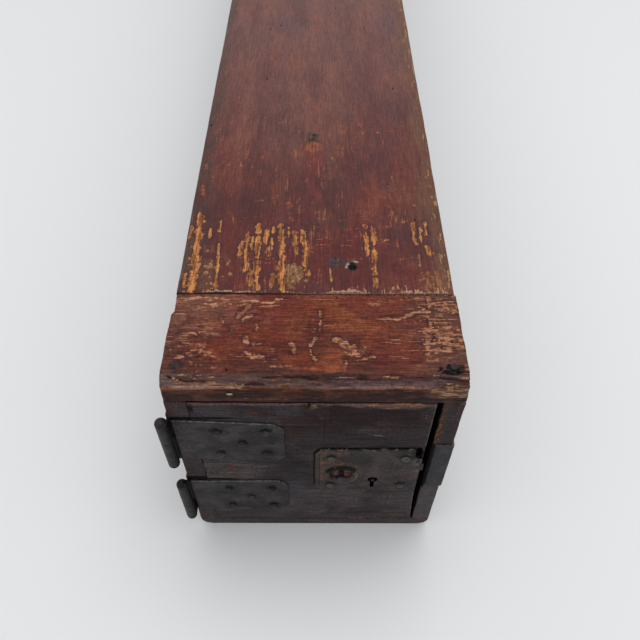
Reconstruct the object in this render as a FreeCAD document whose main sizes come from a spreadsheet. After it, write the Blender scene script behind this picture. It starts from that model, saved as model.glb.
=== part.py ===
import FreeCAD, Part
import os
import Sketcher
from FreeCAD import Vector

# A long, narrow wooden chest that stands on the floor and opens at one end.
# Millimetres. X is across the chest, Y runs along it and Z is up. The origin is on the floor under
# the middle of the chest, and the door is at the low end of Y, hinged on the low side of X.

doc = FreeCAD.newDocument("end_door_chest")
sheet = doc.addObject("Spreadsheet::Sheet", "sizes")

SIZES = (
    # the box
    ("body_width", 240, "over the two side boards"),
    ("body_length", 1515, "of the side boards"),
    ("side_thick", 18, "thickness of a side board"),
    ("side_rise", 225.5, "height of a side board above the bottom board"),
    ("bottom_thick", 14.5, "thickness of the bottom board"),
    ("bottom_round", 12, "radius worn on the two long lower edges"),
    ("back_thick", 18, "thickness of the fixed end board"),
    # the top
    ("top_thick", 28, "thickness of the top board and its two caps"),
    ("top_board_shrink", 1.75, "how far the long board has shrunk back from the caps' ends"),
    ("top_board_arris", 2, "radius on the long upper edges of the top board"),
    ("cap_setback", 0.5, "from a side board's outer face to the end of a cap"),
    ("cap_depth", 91, "width of a cap, from its nose to the joint"),
    ("cap_overhang", 1, "how far a cap's nose stands past the side boards"),
    ("cap_nose", 13.5, "radius worn on the nose's upper edge"),
    ("cap_nose_under", 3.5, "radius on the nose's lower edge"),
    ("cap_arris", 1.5, "radius on the short upper edges of a cap"),
    ("tongue_long", 12, "tongue of the top board into a cap"),
    ("tongue_thick", 9, "thickness of that tongue"),
    ("tongue_fit", 0.1, "clearance round the tongue"),
    # the door board and the strips that it closes on
    ("door_thick", 18, "thickness of the door"),
    ("door_gap_hinge", 1.1, "gap at the hinged edge"),
    ("door_gap_lock", 4.4, "gap at the lock edge, wide because the door has shrunk"),
    ("door_gap_top", 1.5, "gap under the cap"),
    ("door_gap_bottom", 1, "gap over the bottom board"),
    ("door_arris", 1.2, "radius on the front edges of the door"),
    ("door_spread", 2.8, "how far the door's lock edge spreads towards its foot"),
    ("door_spread_tall", 54, "height of that spread"),
    ("stop_wide", 12, "width of a door stop, across the chest"),
    ("stop_deep", 15, "depth of a door stop, along the chest"),
    ("stop_gap", 0.3, "between the shut door and its stops"),
    ("stop_nail_end", 56, "from the ends of a door stop to its nails"),
    ("stop_nail_grip", 5, "length of a door stop's nail in the side board"),
    # wooden pegs
    ("peg_round", 3, "radius of a peg"),
    ("peg_grip", 20, "length of a peg in the second board"),
    ("peg_fit", 0.1, "clearance round a peg and past its blind end"),
    ("peg_sunk", 0.6, "how far a peg's outer end lies below the face"),
    ("peg_line", 9, "from a side board's outer face to the line of pegs from the top"),
    ("under_peg_line", 4.5, "from a side board's inner face to the line of pegs from below"),
    ("peg_margin", 60, "from a cap, or an end of the bottom, to the nearest peg"),
    ("end_peg_margin", 35, "from the fixed end board's top or bottom to the nearest peg"),
    # iron nails with domed heads, and the plain ones in the caps
    ("nail_head", 3.8, "radius of a domed head"),
    ("nail_rise", 1.6, "height of a domed head"),
    ("nail_shank", 1.3, "radius of a shank"),
    ("nail_long", 11, "length of a shank in the wood"),
    ("nail_fit", 0.1, "clearance round a shank and past its point"),
    ("nail_rim", 0.1, "upright rim under a head's dome"),
    ("small_head", 2.2, "radius of a small head"),
    ("small_rise", 0.8, "height of a small head"),
    ("cap_nail_head", 3.4, "radius of a cap nail's flat head"),
    ("cap_nail_sink", 1.5, "thickness of that head, let into the cap"),
    ("cap_nail_long", 48, "length of a cap nail's shank"),
    ("cap_nail_side", 12, "from a side board's outer face to a cap nail"),
    ("cap_nail_end", 16, "from the end of the side boards to a cap nail"),
    # the two hinges
    ("leaf_thick", 1.6, "thickness of the wrought leaves"),
    ("knuckle_round", 5.2, "outer radius of the rolled knuckles"),
    ("hinge_tall", 66.5, "height of the two knuckles together"),
    ("upper_hinge_low", 149, "underside of the upper hinge's knuckles"),
    ("lower_hinge_low", 38, "underside of the lower hinge's knuckles"),
    ("side_knuckle", 27, "height of the knuckle on the side leaf"),
    ("knuckle_gap", 0.3, "between two knuckles, and under the pin's head"),
    ("pin_fit", 0.08, "clearance between pin and knuckle"),
    ("leaf_inset", 1.5, "from the end of the knuckles to the edge of a door leaf"),
    ("leaf_setback", 1.5, "from the side board's outer face to the door leaf's near edge"),
    ("door_leaf_reach", 94, "from the side board's outer face to the door leaf's far edge"),
    ("leaf_clip", 9, "the far corners cut off a leaf"),
    ("upper_leaf_droop", 6, "how far the upper door leaf's far end hangs"),
    ("lower_leaf_rise", 1.5, "how far the lower door leaf's far end rises"),
    ("side_leaf_reach", 82, "from the front of the side board to the side leaf's far edge"),
    ("side_leaf_rise", 5, "how far a side leaf stands above its knuckles"),
    ("side_leaf_start", 0.5, "from the front of the side board to the side leaf's near edge"),
    ("nail_spread", 41, "between the outer nails, along a leaf"),
    ("nail_stack", 37, "between the outer nails, up a leaf"),
    ("nail_inset", 36, "from a leaf's far edge to its middle nail"),
    ("nail_drop", 3, "how far the nails sit below the middle of a leaf"),
    # the iron strap round the lock-side board
    ("strap_thick", 1.5, "thickness of the strap"),
    ("strap_low", 95.5, "underside of the strap"),
    ("strap_tall", 78, "height of the strap"),
    ("strap_setback", 3, "from the side board's inner face to the strap's front edge"),
    ("strap_reach", 46, "length of the strap along the outer face"),
    ("strap_bend", 1.2, "radius of its outer bend"),
    ("strap_nail_side", 7.6, "from the strap's far edge to its nails"),
    ("strap_nail_end", 15.6, "from the ends of the strap to its outer nails"),
    # the lock plate
    ("plate_thick", 1.5, "thickness of the lock plate"),
    ("plate_wide", 96.5, "width of the lock plate"),
    ("plate_tall", 80, "height of the lock plate"),
    ("plate_low", 86.5, "underside of the lock plate"),
    ("plate_edge", 1.2, "from the door's lock edge to the plate"),
    ("plate_corner", 11, "radius of the plate's corners away from the edge"),
    ("plate_loss_wide", 7, "width of the corner that has rusted away"),
    ("plate_loss_tall", 17, "height of the corner that has rusted away"),
    ("plate_loss_bevel", 4, "the inner corner of that loss, cut across"),
    ("plate_nail_side", 15, "from the plate's ends to its nails"),
    ("plate_nail_end", 10, "from the plate's bottom to its lower nails"),
    ("plate_nail_rise", 53, "between the lower and the upper nails"),
    ("plate_tack_side", 5.4, "from the plate's edge to its small tack"),
    ("plate_tack_rise", 15, "from the plate's bottom to its small tack"),
    ("keyhole_side", 54.4, "from the plate's left end to the keyhole"),
    ("keyhole_rise", 21.5, "from the plate's bottom to the keyhole's round"),
    ("keyhole_round", 4.7, "radius of the keyhole's round"),
    ("keyhole_slot", 3.6, "width of the keyhole's slot"),
    ("keyhole_drop", 15.5, "from the middle of the round to the end of the slot"),
    # the pull
    ("pull_side", 24.8, "from the plate's left end to the pull"),
    ("pull_rise", 33, "from the plate's bottom to the pull"),
    ("rosette_round", 16.5, "radius of the rosette"),
    ("rosette_lip", 2.2, "height of the rosette's lip"),
    ("lip_inner", 12.4, "radius of the lip's crest, on the side of the cup"),
    ("lip_outer", 14.4, "radius of the lip's crest, on the outer side"),
    ("lip_edge", 0.8, "radius on both edges of that crest"),
    ("cup_round", 11, "radius of the rosette's cup"),
    ("cup_deep", 3, "depth of the cup behind the plate's front"),
    ("cup_wall", 0.8, "thickness of the rosette's metal"),
    ("cup_fit", 0.2, "clearance round the cup"),
    ("knob_round", 5.8, "radius of the knob's head"),
    ("knob_head", 3.4, "thickness of the knob's head"),
    ("knob_face_edge", 2.4, "radius on the edge of the knob's face"),
    ("knob_reach", 7.4, "from the plate's front to the knob's face"),
    ("knob_stem", 2.6, "radius of the knob's stem"),
    ("knob_rivet", 4.4, "radius of the stem's riveted end inside the door"),
    ("knob_rivet_thick", 1.2, "thickness of that end"),
    ("knob_fit", 0.1, "clearance round the stem"),
    # the lock behind the plate
    ("case_side", 38, "from the plate's left end to the lock case"),
    ("case_low", 3.5, "from the plate's bottom to the lock case"),
    ("case_wide", 39, "width of the lock case"),
    ("case_tall", 52, "height of the lock case"),
    ("case_deep", 12, "depth of the lock case"),
    ("case_wall", 1.2, "thickness of its metal"),
    ("case_fit", 0.3, "clearance of the case in the door"),
    ("bolt_thick", 5, "thickness of the bolt, along the chest"),
    ("bolt_tall", 12, "height of the bolt"),
    ("bolt_rise", 33.5, "from the plate's bottom to the bolt"),
    ("bolt_behind", 2.5, "from the door's front to the bolt"),
    ("bolt_tail", 6, "from the lock case's left end to the bolt's tail"),
    ("bolt_show", 2.7, "how far the drawn bolt stands out of the door"),
    ("bolt_throw", 9.5, "travel of the bolt"),
    ("bolt_fit", 0.3, "clearance round the bolt"),
    ("mortise_fit", 0.6, "clearance round the bolt in the side board"),
    ("mortise_end_fit", 1, "clearance past the thrown bolt in the side board"),
    ("talon_wide", 9, "width of the notch that the key turns in"),
    ("talon_deep", 3.2, "depth of that notch"),
    ("talon_side", 2, "from the keyhole to the notch"),
    ("key_pin_round", 1.7, "radius of the pin that the key fits over"),
    ("key_pin_show", 0.6, "how far that pin stands in front of the plate"),
    ("spring_thick", 0.8, "thickness of the spring that holds the bolt down"),
    ("spring_wide", 4.4, "width of that spring"),
    ("spring_gap", 0.1, "between the spring and the bolt"),
    ("spring_start", 2, "from the lock case's left end to the spring"),
    ("spring_end", 4.4, "from the lock case's right end to the spring's toe"),
    ("spring_toe", 3.2, "length of the toe, which turns up"),
    ("spring_toe_rise", 1.6, "how far the toe turns up"),
)

for row, (alias, size, meaning) in enumerate(SIZES, start=1):
    sheet.set(f"A{row}", alias)
    sheet.set(f"B{row}", str(size))
    sheet.set(f"C{row}", meaning)
    sheet.setAlias(f"B{row}", alias)
doc.recompute()


def mm(expression):
    """The value of an expression on the sheet."""
    return float(sheet.evalExpression(expression))


def size(expression):
    """An expression written in bare aliases, with the sheet's name put before each one."""
    words = {alias for alias, _, _ in SIZES}
    out = []
    for token in expression.replace("(", " ( ").replace(")", " ) ").split():
        out.append(f"sizes.{token}" if token in words else token)
    return "(" + " ".join(out) + ")"


# Places that more than one piece lines up with, all in the chest's own frame.
HALF = size("body_width / 2")
INNER = size("body_width / 2 - side_thick")
FRONT = size("0 - body_length / 2")
BACK = size("body_length / 2")
FLOOR = "0"
SEAT = size("bottom_thick")
EAVES = size("bottom_thick + side_rise")
ROOF = size("bottom_thick + side_rise + top_thick")
CAP_JOINT = size("body_length / 2 + cap_overhang - cap_depth")
END_INNER = size("body_length / 2 - back_thick")

DOOR_HINGE = f"(-{INNER} + sizes.door_gap_hinge)"
DOOR_LOCK = f"({INNER} - sizes.door_gap_lock)"
DOOR_LOW = f"({SEAT} + sizes.door_gap_bottom)"
DOOR_HIGH = f"({EAVES} - sizes.door_gap_top)"
DOOR_BACK = f"({FRONT} + sizes.door_thick)"
STOP_FRONT = f"({DOOR_BACK} + sizes.stop_gap)"
STOP_BACK = f"({STOP_FRONT} + sizes.stop_deep)"
STOP_INNER = f"({INNER} - sizes.stop_wide)"

PIN_X = f"(-{HALF} - sizes.knuckle_round)"
PIN_Y = f"({FRONT} - sizes.knuckle_round)"
LEAF_FRONT = f"({FRONT} - sizes.leaf_thick)"
SIDE_LEAF_FACE = f"(-{HALF} - sizes.leaf_thick)"
DOOR_LEAF_NEAR = f"(-{HALF} + sizes.leaf_setback)"
DOOR_LEAF_FAR = f"(-{HALF} + sizes.door_leaf_reach)"
SIDE_LEAF_NEAR = f"({FRONT} + sizes.side_leaf_start)"
SIDE_LEAF_FAR = f"({FRONT} + sizes.side_leaf_reach)"
STRAP_FACE = f"({HALF} + sizes.strap_thick)"

PLATE_RIGHT = f"({DOOR_LOCK} - sizes.plate_edge)"
PLATE_LEFT = f"({PLATE_RIGHT} - sizes.plate_wide)"
PLATE_LOW = size("plate_low")
PLATE_HIGH = size("plate_low + plate_tall")
PLATE_FACE = f"({FRONT} - sizes.plate_thick)"
KEY_X = f"({PLATE_LEFT} + sizes.keyhole_side)"
KEY_Z = f"({PLATE_LOW} + sizes.keyhole_rise)"
PULL_X = f"({PLATE_LEFT} + sizes.pull_side)"
PULL_Z = f"({PLATE_LOW} + sizes.pull_rise)"
CASE_LEFT = f"({PLATE_LEFT} + sizes.case_side)"
CASE_RIGHT = f"({CASE_LEFT} + sizes.case_wide)"
CASE_LOW = f"({PLATE_LOW} + sizes.case_low)"
CASE_HIGH = f"({CASE_LOW} + sizes.case_tall)"
CASE_BACK = f"({FRONT} + sizes.case_deep)"
BOLT_FRONT = f"({FRONT} + sizes.bolt_behind)"
BOLT_BACK = f"({BOLT_FRONT} + sizes.bolt_thick)"
BOLT_LOW = f"({PLATE_LOW} + sizes.bolt_rise)"
BOLT_HIGH = f"({BOLT_LOW} + sizes.bolt_tall)"
BOLT_TIP = f"({DOOR_LOCK} + sizes.bolt_show)"

# Each origin plane: the axes that a sketch's u and v run along, the axis that it faces, and the
# way that it faces along that axis.
PLANES = {"XY": ("x", "y", "z", 1), "XZ": ("x", "z", "y", -1), "YZ": ("y", "z", "x", 1)}

# Two places closer than this are the same place.
TINY = 0.001


def lies_at(edge, axis, places):
    """Whether an edge lies flat at one of the given places along an axis."""
    low = getattr(edge.BoundBox, f"{axis.upper()}Min")
    high = getattr(edge.BoundBox, f"{axis.upper()}Max")
    return high - low < TINY and min(abs(low - place) for place in places) < TINY


class Outline:
    """A closed chain of straight edges through points given as pairs of expressions."""

    def __init__(self, *points):
        self.points = points

    def draw(self, sketch, local):
        spots = [Vector(mm(local(0, u)), mm(local(1, v))) for u, v in self.points]
        count = len(spots)
        for index in range(count):
            sketch.addGeometry(Part.LineSegment(spots[index], spots[(index + 1) % count]))
        for index, (u, v) in enumerate(self.points):
            sketch.addConstraint(Sketcher.Constraint("Coincident", index, 2, (index + 1) % count, 1))
            tie(sketch, "DistanceX", index, 1, local(0, u))
            tie(sketch, "DistanceY", index, 1, local(1, v))


class Circles:
    """Circles of one radius about centres given as pairs of expressions."""

    def __init__(self, radius, *centres):
        self.radius = radius
        self.centres = centres

    def draw(self, sketch, local):
        for index, (u, v) in enumerate(self.centres):
            centre = Vector(mm(local(0, u)), mm(local(1, v)))
            sketch.addGeometry(Part.Circle(centre, Vector(0, 0, 1), mm(self.radius)))
            tie(sketch, "DistanceX", index, 3, local(0, u))
            tie(sketch, "DistanceY", index, 3, local(1, v))
            name = f"radius{index}"
            spot = sketch.addConstraint(Sketcher.Constraint("Radius", index, mm(self.radius)))
            sketch.renameConstraint(spot, name)
            sketch.setExpression(f"Constraints.{name}", self.radius)


def tie(sketch, kind, geometry, point, expression):
    """Hold one point of a sketch at a distance from its origin that follows the sheet."""
    name = f"{kind}{geometry}"
    spot = sketch.addConstraint(Sketcher.Constraint(kind, -1, 1, geometry, point, mm(expression)))
    sketch.renameConstraint(spot, name)
    sketch.setExpression(f"Constraints.{name}", expression)


def rectangle(low, high):
    """The outline between two opposite corners."""
    return Outline(low, (high[0], low[1]), high, (low[0], high[1]))


class Piece:
    """One sub-part: a body that stands at its own home point, drawn in the chest's frame."""

    def __init__(self, label, home):
        self.body = doc.addObject("PartDesign::Body", label)
        self.body.Label = label
        self.home = dict(zip("xyz", home))
        for axis, place in self.home.items():
            self.body.setExpression(f"Placement.Base.{axis}", place)

    def sketch(self, plane, shape, level):
        """Draw a shape on an origin plane that is moved to a level along its axis."""
        *drawn, facing, sign = PLANES[plane]
        flat = next(part for part in self.body.Origin.OriginFeatures if part.Role == f"{plane}_Plane")
        sketch = self.body.newObject("Sketcher::SketchObject", f"{self.body.Label}_sketch")
        sketch.AttachmentSupport = [(flat, "")]
        sketch.MapMode = "FlatFace"
        sketch.setExpression("AttachmentOffset.Base.z", f"{sign} * ({level} - {self.home[facing]})")
        shape.draw(sketch, lambda side, place: f"({place}) - ({self.home[drawn[side]]})")
        return sketch

    def extrude(self, kind, plane, shape, start, end):
        feature = self.body.newObject(f"PartDesign::{kind}", f"{self.body.Label}_{kind.lower()}")
        feature.Profile = self.sketch(plane, shape, start)
        feature.setExpression("Length", f"abs(({end}) - ({start}))")
        runs_with_plane = (mm(end) - mm(start)) * PLANES[plane][3] > 0
        feature.Reversed = runs_with_plane == (kind == "Pocket")
        doc.recompute()
        return feature

    def add(self, plane, shape, start, end):
        """Pad a shape from one level to another."""
        self.extrude("Pad", plane, shape, start, end)
        return self

    def cut(self, plane, shape, start, end):
        """Pocket a shape from one level to another, and make sure that it met the wood or metal."""
        before = self.body.Shape.Volume
        self.extrude("Pocket", plane, shape, start, end)
        if self.body.Shape.Volume >= before:
            raise ValueError(f"a pocket of {self.body.Label} cuts nothing")
        return self

    def turn(self, outline):
        """Turn a profile, drawn as (x, y) pairs, once round the Y axis through the home point."""
        feature = self.body.newObject("PartDesign::Revolution", f"{self.body.Label}_turned")
        sketch = self.sketch("XY", outline, self.home["z"])
        feature.Profile = sketch
        feature.ReferenceAxis = (sketch, ["V_Axis"])
        doc.recompute()
        return self

    def soften(self, radius, **where):
        """Fillet the edges that lie at one of the given places on every axis that is given."""
        base = self.body.Tip
        levels = {axis: [mm(place) - mm(self.home[axis]) for place in places]
                  for axis, places in where.items()}
        names = [f"Edge{index}" for index, edge in enumerate(base.Shape.Edges, start=1)
                 if all(lies_at(edge, axis, places) for axis, places in levels.items())]
        feature = self.body.newObject("PartDesign::Fillet", f"{self.body.Label}_fillet")
        feature.Base = (base, names)
        feature.setExpression("Radius", radius)
        doc.recompute()
        return self


def evenly(first, last, count):
    """Places at equal steps from first to last, both included."""
    return [f"({first} + ({last} - {first}) * {step} / {count - 1})" for step in range(count)]


def nails(label, plane, centres, face, outward, head, rise, depth):
    """A group of nails: shanks driven in from a face, and domed heads that stand on it."""
    group = Piece(label, ("0", FRONT, "0"))
    inward = -outward
    group.add(plane, Circles("sizes.nail_shank", *centres), face, f"({face} + {inward} * {depth})")
    tip = f"({face} + {outward} * {rise})"
    group.add(plane, Circles(head, *centres), face, tip)
    facing = PLANES[plane][2]
    group.soften(f"{rise} - sizes.nail_rim", **{facing: [tip]})
    return group


def nail_bores(piece, plane, centres, face, inward, depth):
    """The holes that a group of nails is driven into."""
    radius = "(sizes.nail_shank + sizes.nail_fit)"
    end = f"({face} + {inward} * ({depth} + sizes.nail_fit))"
    piece.cut(plane, Circles(radius, *centres), face, end)


def quincunx(middle, spread, stack):
    """Five places: a middle one and the four corners of a rectangle round it."""
    u, v = middle
    corners = [(f"({u} + {across} * {spread} / 2)", f"({v} + {up} * {stack} / 2)")
               for across in (-1, 1) for up in (-1, 1)]
    return [middle, *corners]


NAIL_DEPTH = "sizes.nail_long"
PEG_BORE = "(sizes.peg_round + sizes.peg_fit)"
PEG_DEPTH = "(sizes.peg_grip + sizes.peg_fit)"

# Where the fasteners go.
PEGS_PER_SIDE = 7
PEGS_PER_END = 3
NAILS_PER_STRAP = 3
PEG_LINES = (f"(-{HALF} + sizes.peg_line)", f"({HALF} - sizes.peg_line)")
UNDER_PEG_LINES = (f"(-{INNER} - sizes.under_peg_line)", f"({INNER} + sizes.under_peg_line)")
TOP_PEG_ROWS = evenly(f"(-{CAP_JOINT} + sizes.peg_margin)", f"({CAP_JOINT} - sizes.peg_margin)",
                      PEGS_PER_SIDE)
BOTTOM_PEG_ROWS = evenly(f"({FRONT} + sizes.peg_margin)", f"({BACK} - sizes.peg_margin)",
                         PEGS_PER_SIDE)
END_PEG_ROWS = evenly(f"({SEAT} + sizes.end_peg_margin)", f"({EAVES} - sizes.end_peg_margin)",
                      PEGS_PER_END)
END_PEG_Y = f"({BACK} - sizes.back_thick / 2)"
CAP_NAIL_LINES = (f"(-{HALF} + sizes.cap_nail_side)", f"({HALF} - sizes.cap_nail_side)")
CAP_NAIL_ROWS = (f"({FRONT} + sizes.cap_nail_end)", f"({BACK} - sizes.cap_nail_end)")
CAP_NAIL_SEAT = f"({ROOF} - sizes.cap_nail_sink)"
CAP_NAIL_POINT = f"({CAP_NAIL_SEAT} - sizes.cap_nail_long)"
STOP_NAIL_Y = f"({STOP_FRONT} + sizes.stop_deep / 2)"
STOP_NAIL_ROWS = (f"({SEAT} + sizes.stop_nail_end)", f"({EAVES} - sizes.stop_nail_end)")
STOP_NAILS = [(STOP_NAIL_Y, z) for z in STOP_NAIL_ROWS]
HINGES = {"upper": ("sizes.upper_hinge_low", "(-sizes.upper_leaf_droop)"),
          "lower": ("sizes.lower_hinge_low", "sizes.lower_leaf_rise")}


def door_leaf_nails(low, tilt):
    """The five nails of a door leaf, as (x, z)."""
    middle_z = f"({low} + sizes.hinge_tall / 2 - sizes.nail_drop + {tilt} / 2)"
    return quincunx((f"({DOOR_LEAF_FAR} - sizes.nail_inset)", middle_z),
                    "sizes.nail_spread", "sizes.nail_stack")


def side_leaf_nails(low):
    """The five nails of a side leaf, as (y, z)."""
    middle_z = f"({low} + sizes.hinge_tall / 2)"
    return quincunx((f"({SIDE_LEAF_FAR} - sizes.nail_inset)", middle_z),
                    "sizes.nail_spread", "sizes.nail_stack")


DOOR_NAILS = {hinge: door_leaf_nails(low, tilt) for hinge, (low, tilt) in HINGES.items()}
SIDE_NAILS = {hinge: side_leaf_nails(low) for hinge, (low, _) in HINGES.items()}
STRAP_NAILS = [(f"({FRONT} + sizes.strap_reach - sizes.strap_nail_side)", z)
               for z in evenly("(sizes.strap_low + sizes.strap_nail_end)",
                               "(sizes.strap_low + sizes.strap_tall - sizes.strap_nail_end)",
                               NAILS_PER_STRAP)]
PLATE_NAILS = [(x, f"({PLATE_LOW} + sizes.plate_nail_end + {up} * sizes.plate_nail_rise)")
               for x in (f"({PLATE_LEFT} + sizes.plate_nail_side)",
                         f"({PLATE_RIGHT} - sizes.plate_nail_side)") for up in (0, 1)]
PLATE_TACK = (f"({PLATE_RIGHT} - sizes.plate_tack_side)", f"({PLATE_LOW} + sizes.plate_tack_rise)")


def side_board(label, inner, outer, outward):
    """A side board with the bores that both side boards have."""
    left = "-" + HALF if outward < 0 else INNER
    board = Piece(label, (left, FRONT, SEAT))
    board.add("YZ", rectangle((FRONT, SEAT), (BACK, EAVES)), outer, inner)
    line = PEG_LINES[outward > 0]
    top_pegs = Circles(PEG_BORE, *((line, y) for y in TOP_PEG_ROWS))
    bottom_pegs = Circles(PEG_BORE, *((UNDER_PEG_LINES[outward > 0], y) for y in BOTTOM_PEG_ROWS))
    end_pegs = Circles(PEG_BORE, *((END_PEG_Y, z) for z in END_PEG_ROWS))
    cap_nails = Circles("(sizes.nail_shank + sizes.nail_fit)",
                        *((CAP_NAIL_LINES[outward > 0], y) for y in CAP_NAIL_ROWS))
    board.cut("XY", top_pegs, EAVES, f"({EAVES} - {PEG_DEPTH})")
    board.cut("XY", bottom_pegs, SEAT, f"({SEAT} + {PEG_DEPTH})")
    board.cut("YZ", end_pegs, outer, inner)
    board.cut("XY", cap_nails, EAVES, f"({CAP_NAIL_POINT} - sizes.nail_fit)")
    nail_bores(board, "YZ", STOP_NAILS, inner, outward, "sizes.stop_nail_grip")
    return board


# The side boards. The right one has a mortise that the bolt goes into.
left_board = side_board("side_board_left", f"(-{INNER})", f"(-{HALF})", -1)
for nail_spots in SIDE_NAILS.values():
    nail_bores(left_board, "YZ", nail_spots, f"(-{HALF})", 1, NAIL_DEPTH)
right_board = side_board("side_board_right", INNER, HALF, 1)
nail_bores(right_board, "YZ", STRAP_NAILS, HALF, -1, NAIL_DEPTH)
mortise = rectangle((f"({BOLT_FRONT} - sizes.mortise_fit)", f"({BOLT_LOW} - sizes.mortise_fit)"),
                    (f"({BOLT_BACK} + sizes.mortise_fit)", f"({BOLT_HIGH} + sizes.mortise_fit)"))
right_board.cut("YZ", mortise, INNER, f"({BOLT_TIP} + sizes.bolt_throw + sizes.mortise_end_fit)")

# The bottom board lies under the sides and the end board, with its long lower edges worn round.
bottom = Piece("bottom_board", (f"(-{HALF})", FRONT, FLOOR))
bottom.add("XY", rectangle((f"(-{HALF})", FRONT), (HALF, BACK)), FLOOR, SEAT)
bottom.soften("sizes.bottom_round", z=[FLOOR], x=[f"(-{HALF})", HALF])
under_peg_spots = [(x, y) for x in UNDER_PEG_LINES for y in BOTTOM_PEG_ROWS]
bottom.cut("XY", Circles(PEG_BORE, *under_peg_spots), FLOOR, SEAT)

# The fixed end board, between the sides.
end_board = Piece("back_end_board", (f"(-{INNER})", END_INNER, SEAT))
end_board.add("XZ", rectangle((f"(-{INNER})", SEAT), (INNER, EAVES)), END_INNER, BACK)
end_bores = Circles(PEG_BORE, *((END_PEG_Y, z) for z in END_PEG_ROWS))
for sign in (-1, 1):
    end_board.cut("YZ", end_bores, f"({sign} * {INNER})", f"({sign} * ({INNER} - {PEG_DEPTH}))")

# The top: one long board with a tongue at each end, held by a cross-grain cap at each end.
TONGUE_LOW = f"(({EAVES} + {ROOF}) / 2 - sizes.tongue_thick / 2)"
TONGUE_HIGH = f"({TONGUE_LOW} + sizes.tongue_thick)"
CAP_HALF = size("body_width / 2 - cap_setback")
TOP_HALF = f"({CAP_HALF} - sizes.top_board_shrink)"
top_peg_spots = [(x, y) for x in PEG_LINES for y in TOP_PEG_ROWS]
top_board = Piece("top_board", (f"(-{TOP_HALF})", f"(-{CAP_JOINT})", EAVES))
top_board.add("XY", rectangle((f"(-{TOP_HALF})", f"(-{CAP_JOINT})"), (TOP_HALF, CAP_JOINT)),
              EAVES, ROOF)
top_board.soften("sizes.top_board_arris", z=[ROOF], x=[f"(-{TOP_HALF})", TOP_HALF])
tongues = rectangle((f"(-{TOP_HALF})", f"(-{CAP_JOINT} - sizes.tongue_long)"),
                    (TOP_HALF, f"({CAP_JOINT} + sizes.tongue_long)"))
top_board.add("XY", tongues, TONGUE_LOW, TONGUE_HIGH)
top_board.cut("XY", Circles(PEG_BORE, *top_peg_spots), ROOF, EAVES)


def cap(label, end, row):
    """A cap at one end: its nose is rounded, and its back edge is grooved for the tongue."""
    joint = f"({end} * {CAP_JOINT})"
    nose = f"({end} * ({BACK} + sizes.cap_overhang))"
    made = Piece(label, (f"(-{CAP_HALF})", joint, EAVES))
    made.add("YZ", rectangle((joint, EAVES), (nose, ROOF)), f"(-{CAP_HALF})", CAP_HALF)
    made.soften("sizes.cap_nose", y=[nose], z=[ROOF])
    made.soften("sizes.cap_nose_under", y=[nose], z=[EAVES])
    made.soften("sizes.cap_arris", x=[f"(-{CAP_HALF})", CAP_HALF], z=[ROOF])
    groove = rectangle((joint, f"({TONGUE_LOW} - sizes.tongue_fit)"),
                       (f"({joint} + {end} * (sizes.tongue_long + sizes.tongue_fit))",
                        f"({TONGUE_HIGH} + sizes.tongue_fit)"))
    made.cut("YZ", groove, f"(-{CAP_HALF})", CAP_HALF)
    spots = [(x, row) for x in CAP_NAIL_LINES]
    made.cut("XY", Circles("(sizes.nail_shank + sizes.nail_fit)", *spots), ROOF, EAVES)
    made.cut("XY", Circles("(sizes.cap_nail_head + sizes.nail_fit)", *spots), ROOF, CAP_NAIL_SEAT)


cap("top_cap_front", -1, CAP_NAIL_ROWS[0])
cap("top_cap_back", 1, CAP_NAIL_ROWS[1])

cap_nail_spots = [(x, y) for x in CAP_NAIL_LINES for y in CAP_NAIL_ROWS]
cap_nails = Piece("cap_nails", ("0", FRONT, ROOF))
cap_nails.add("XY", Circles("sizes.cap_nail_head", *cap_nail_spots), ROOF, CAP_NAIL_SEAT)
cap_nails.add("XY", Circles("sizes.nail_shank", *cap_nail_spots), CAP_NAIL_SEAT, CAP_NAIL_POINT)

# The pegs that hold the boards together, each sunk a little below the face.
top_pegs = Piece("top_board_pegs", ("0", FRONT, ROOF))
top_pegs.add("XY", Circles("sizes.peg_round", *top_peg_spots),
             f"({ROOF} - sizes.peg_sunk)", f"({EAVES} - sizes.peg_grip)")
bottom_pegs = Piece("bottom_board_pegs", ("0", FRONT, FLOOR))
bottom_pegs.add("XY", Circles("sizes.peg_round", *under_peg_spots),
                f"({FLOOR} + sizes.peg_sunk)", f"({SEAT} + sizes.peg_grip)")
end_pegs = Piece("back_end_pegs", ("0", END_INNER, SEAT))
for sign in (-1, 1):
    end_pegs.add("YZ", Circles("sizes.peg_round", *((END_PEG_Y, z) for z in END_PEG_ROWS)),
                 f"({sign} * ({HALF} - sizes.peg_sunk))", f"({sign} * ({INNER} - sizes.peg_grip))")

# The strips that the door shuts against, nailed to the side boards from inside the chest.
for side, sign in (("left", -1), ("right", 1)):
    face = f"({sign} * {STOP_INNER})"
    board_face = f"({sign} * {INNER})"
    strip = Piece(f"door_stop_{side}", (face, STOP_FRONT, SEAT))
    strip.add("YZ", rectangle((STOP_FRONT, SEAT), (STOP_BACK, EAVES)), face, board_face)
    strip.cut("YZ", Circles("(sizes.nail_shank + sizes.nail_fit)", *STOP_NAILS), face, board_face)
    nails(f"door_stop_nails_{side}", "YZ", STOP_NAILS, face, -sign,
          "sizes.small_head", "sizes.small_rise", "(sizes.stop_wide + sizes.stop_nail_grip)")


def knuckle(piece, low, high):
    """A rolled knuckle round the pin's line; its bore is cut when the leaf is whole."""
    piece.add("XY", Circles("sizes.knuckle_round", (PIN_X, PIN_Y)), low, high)


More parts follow.
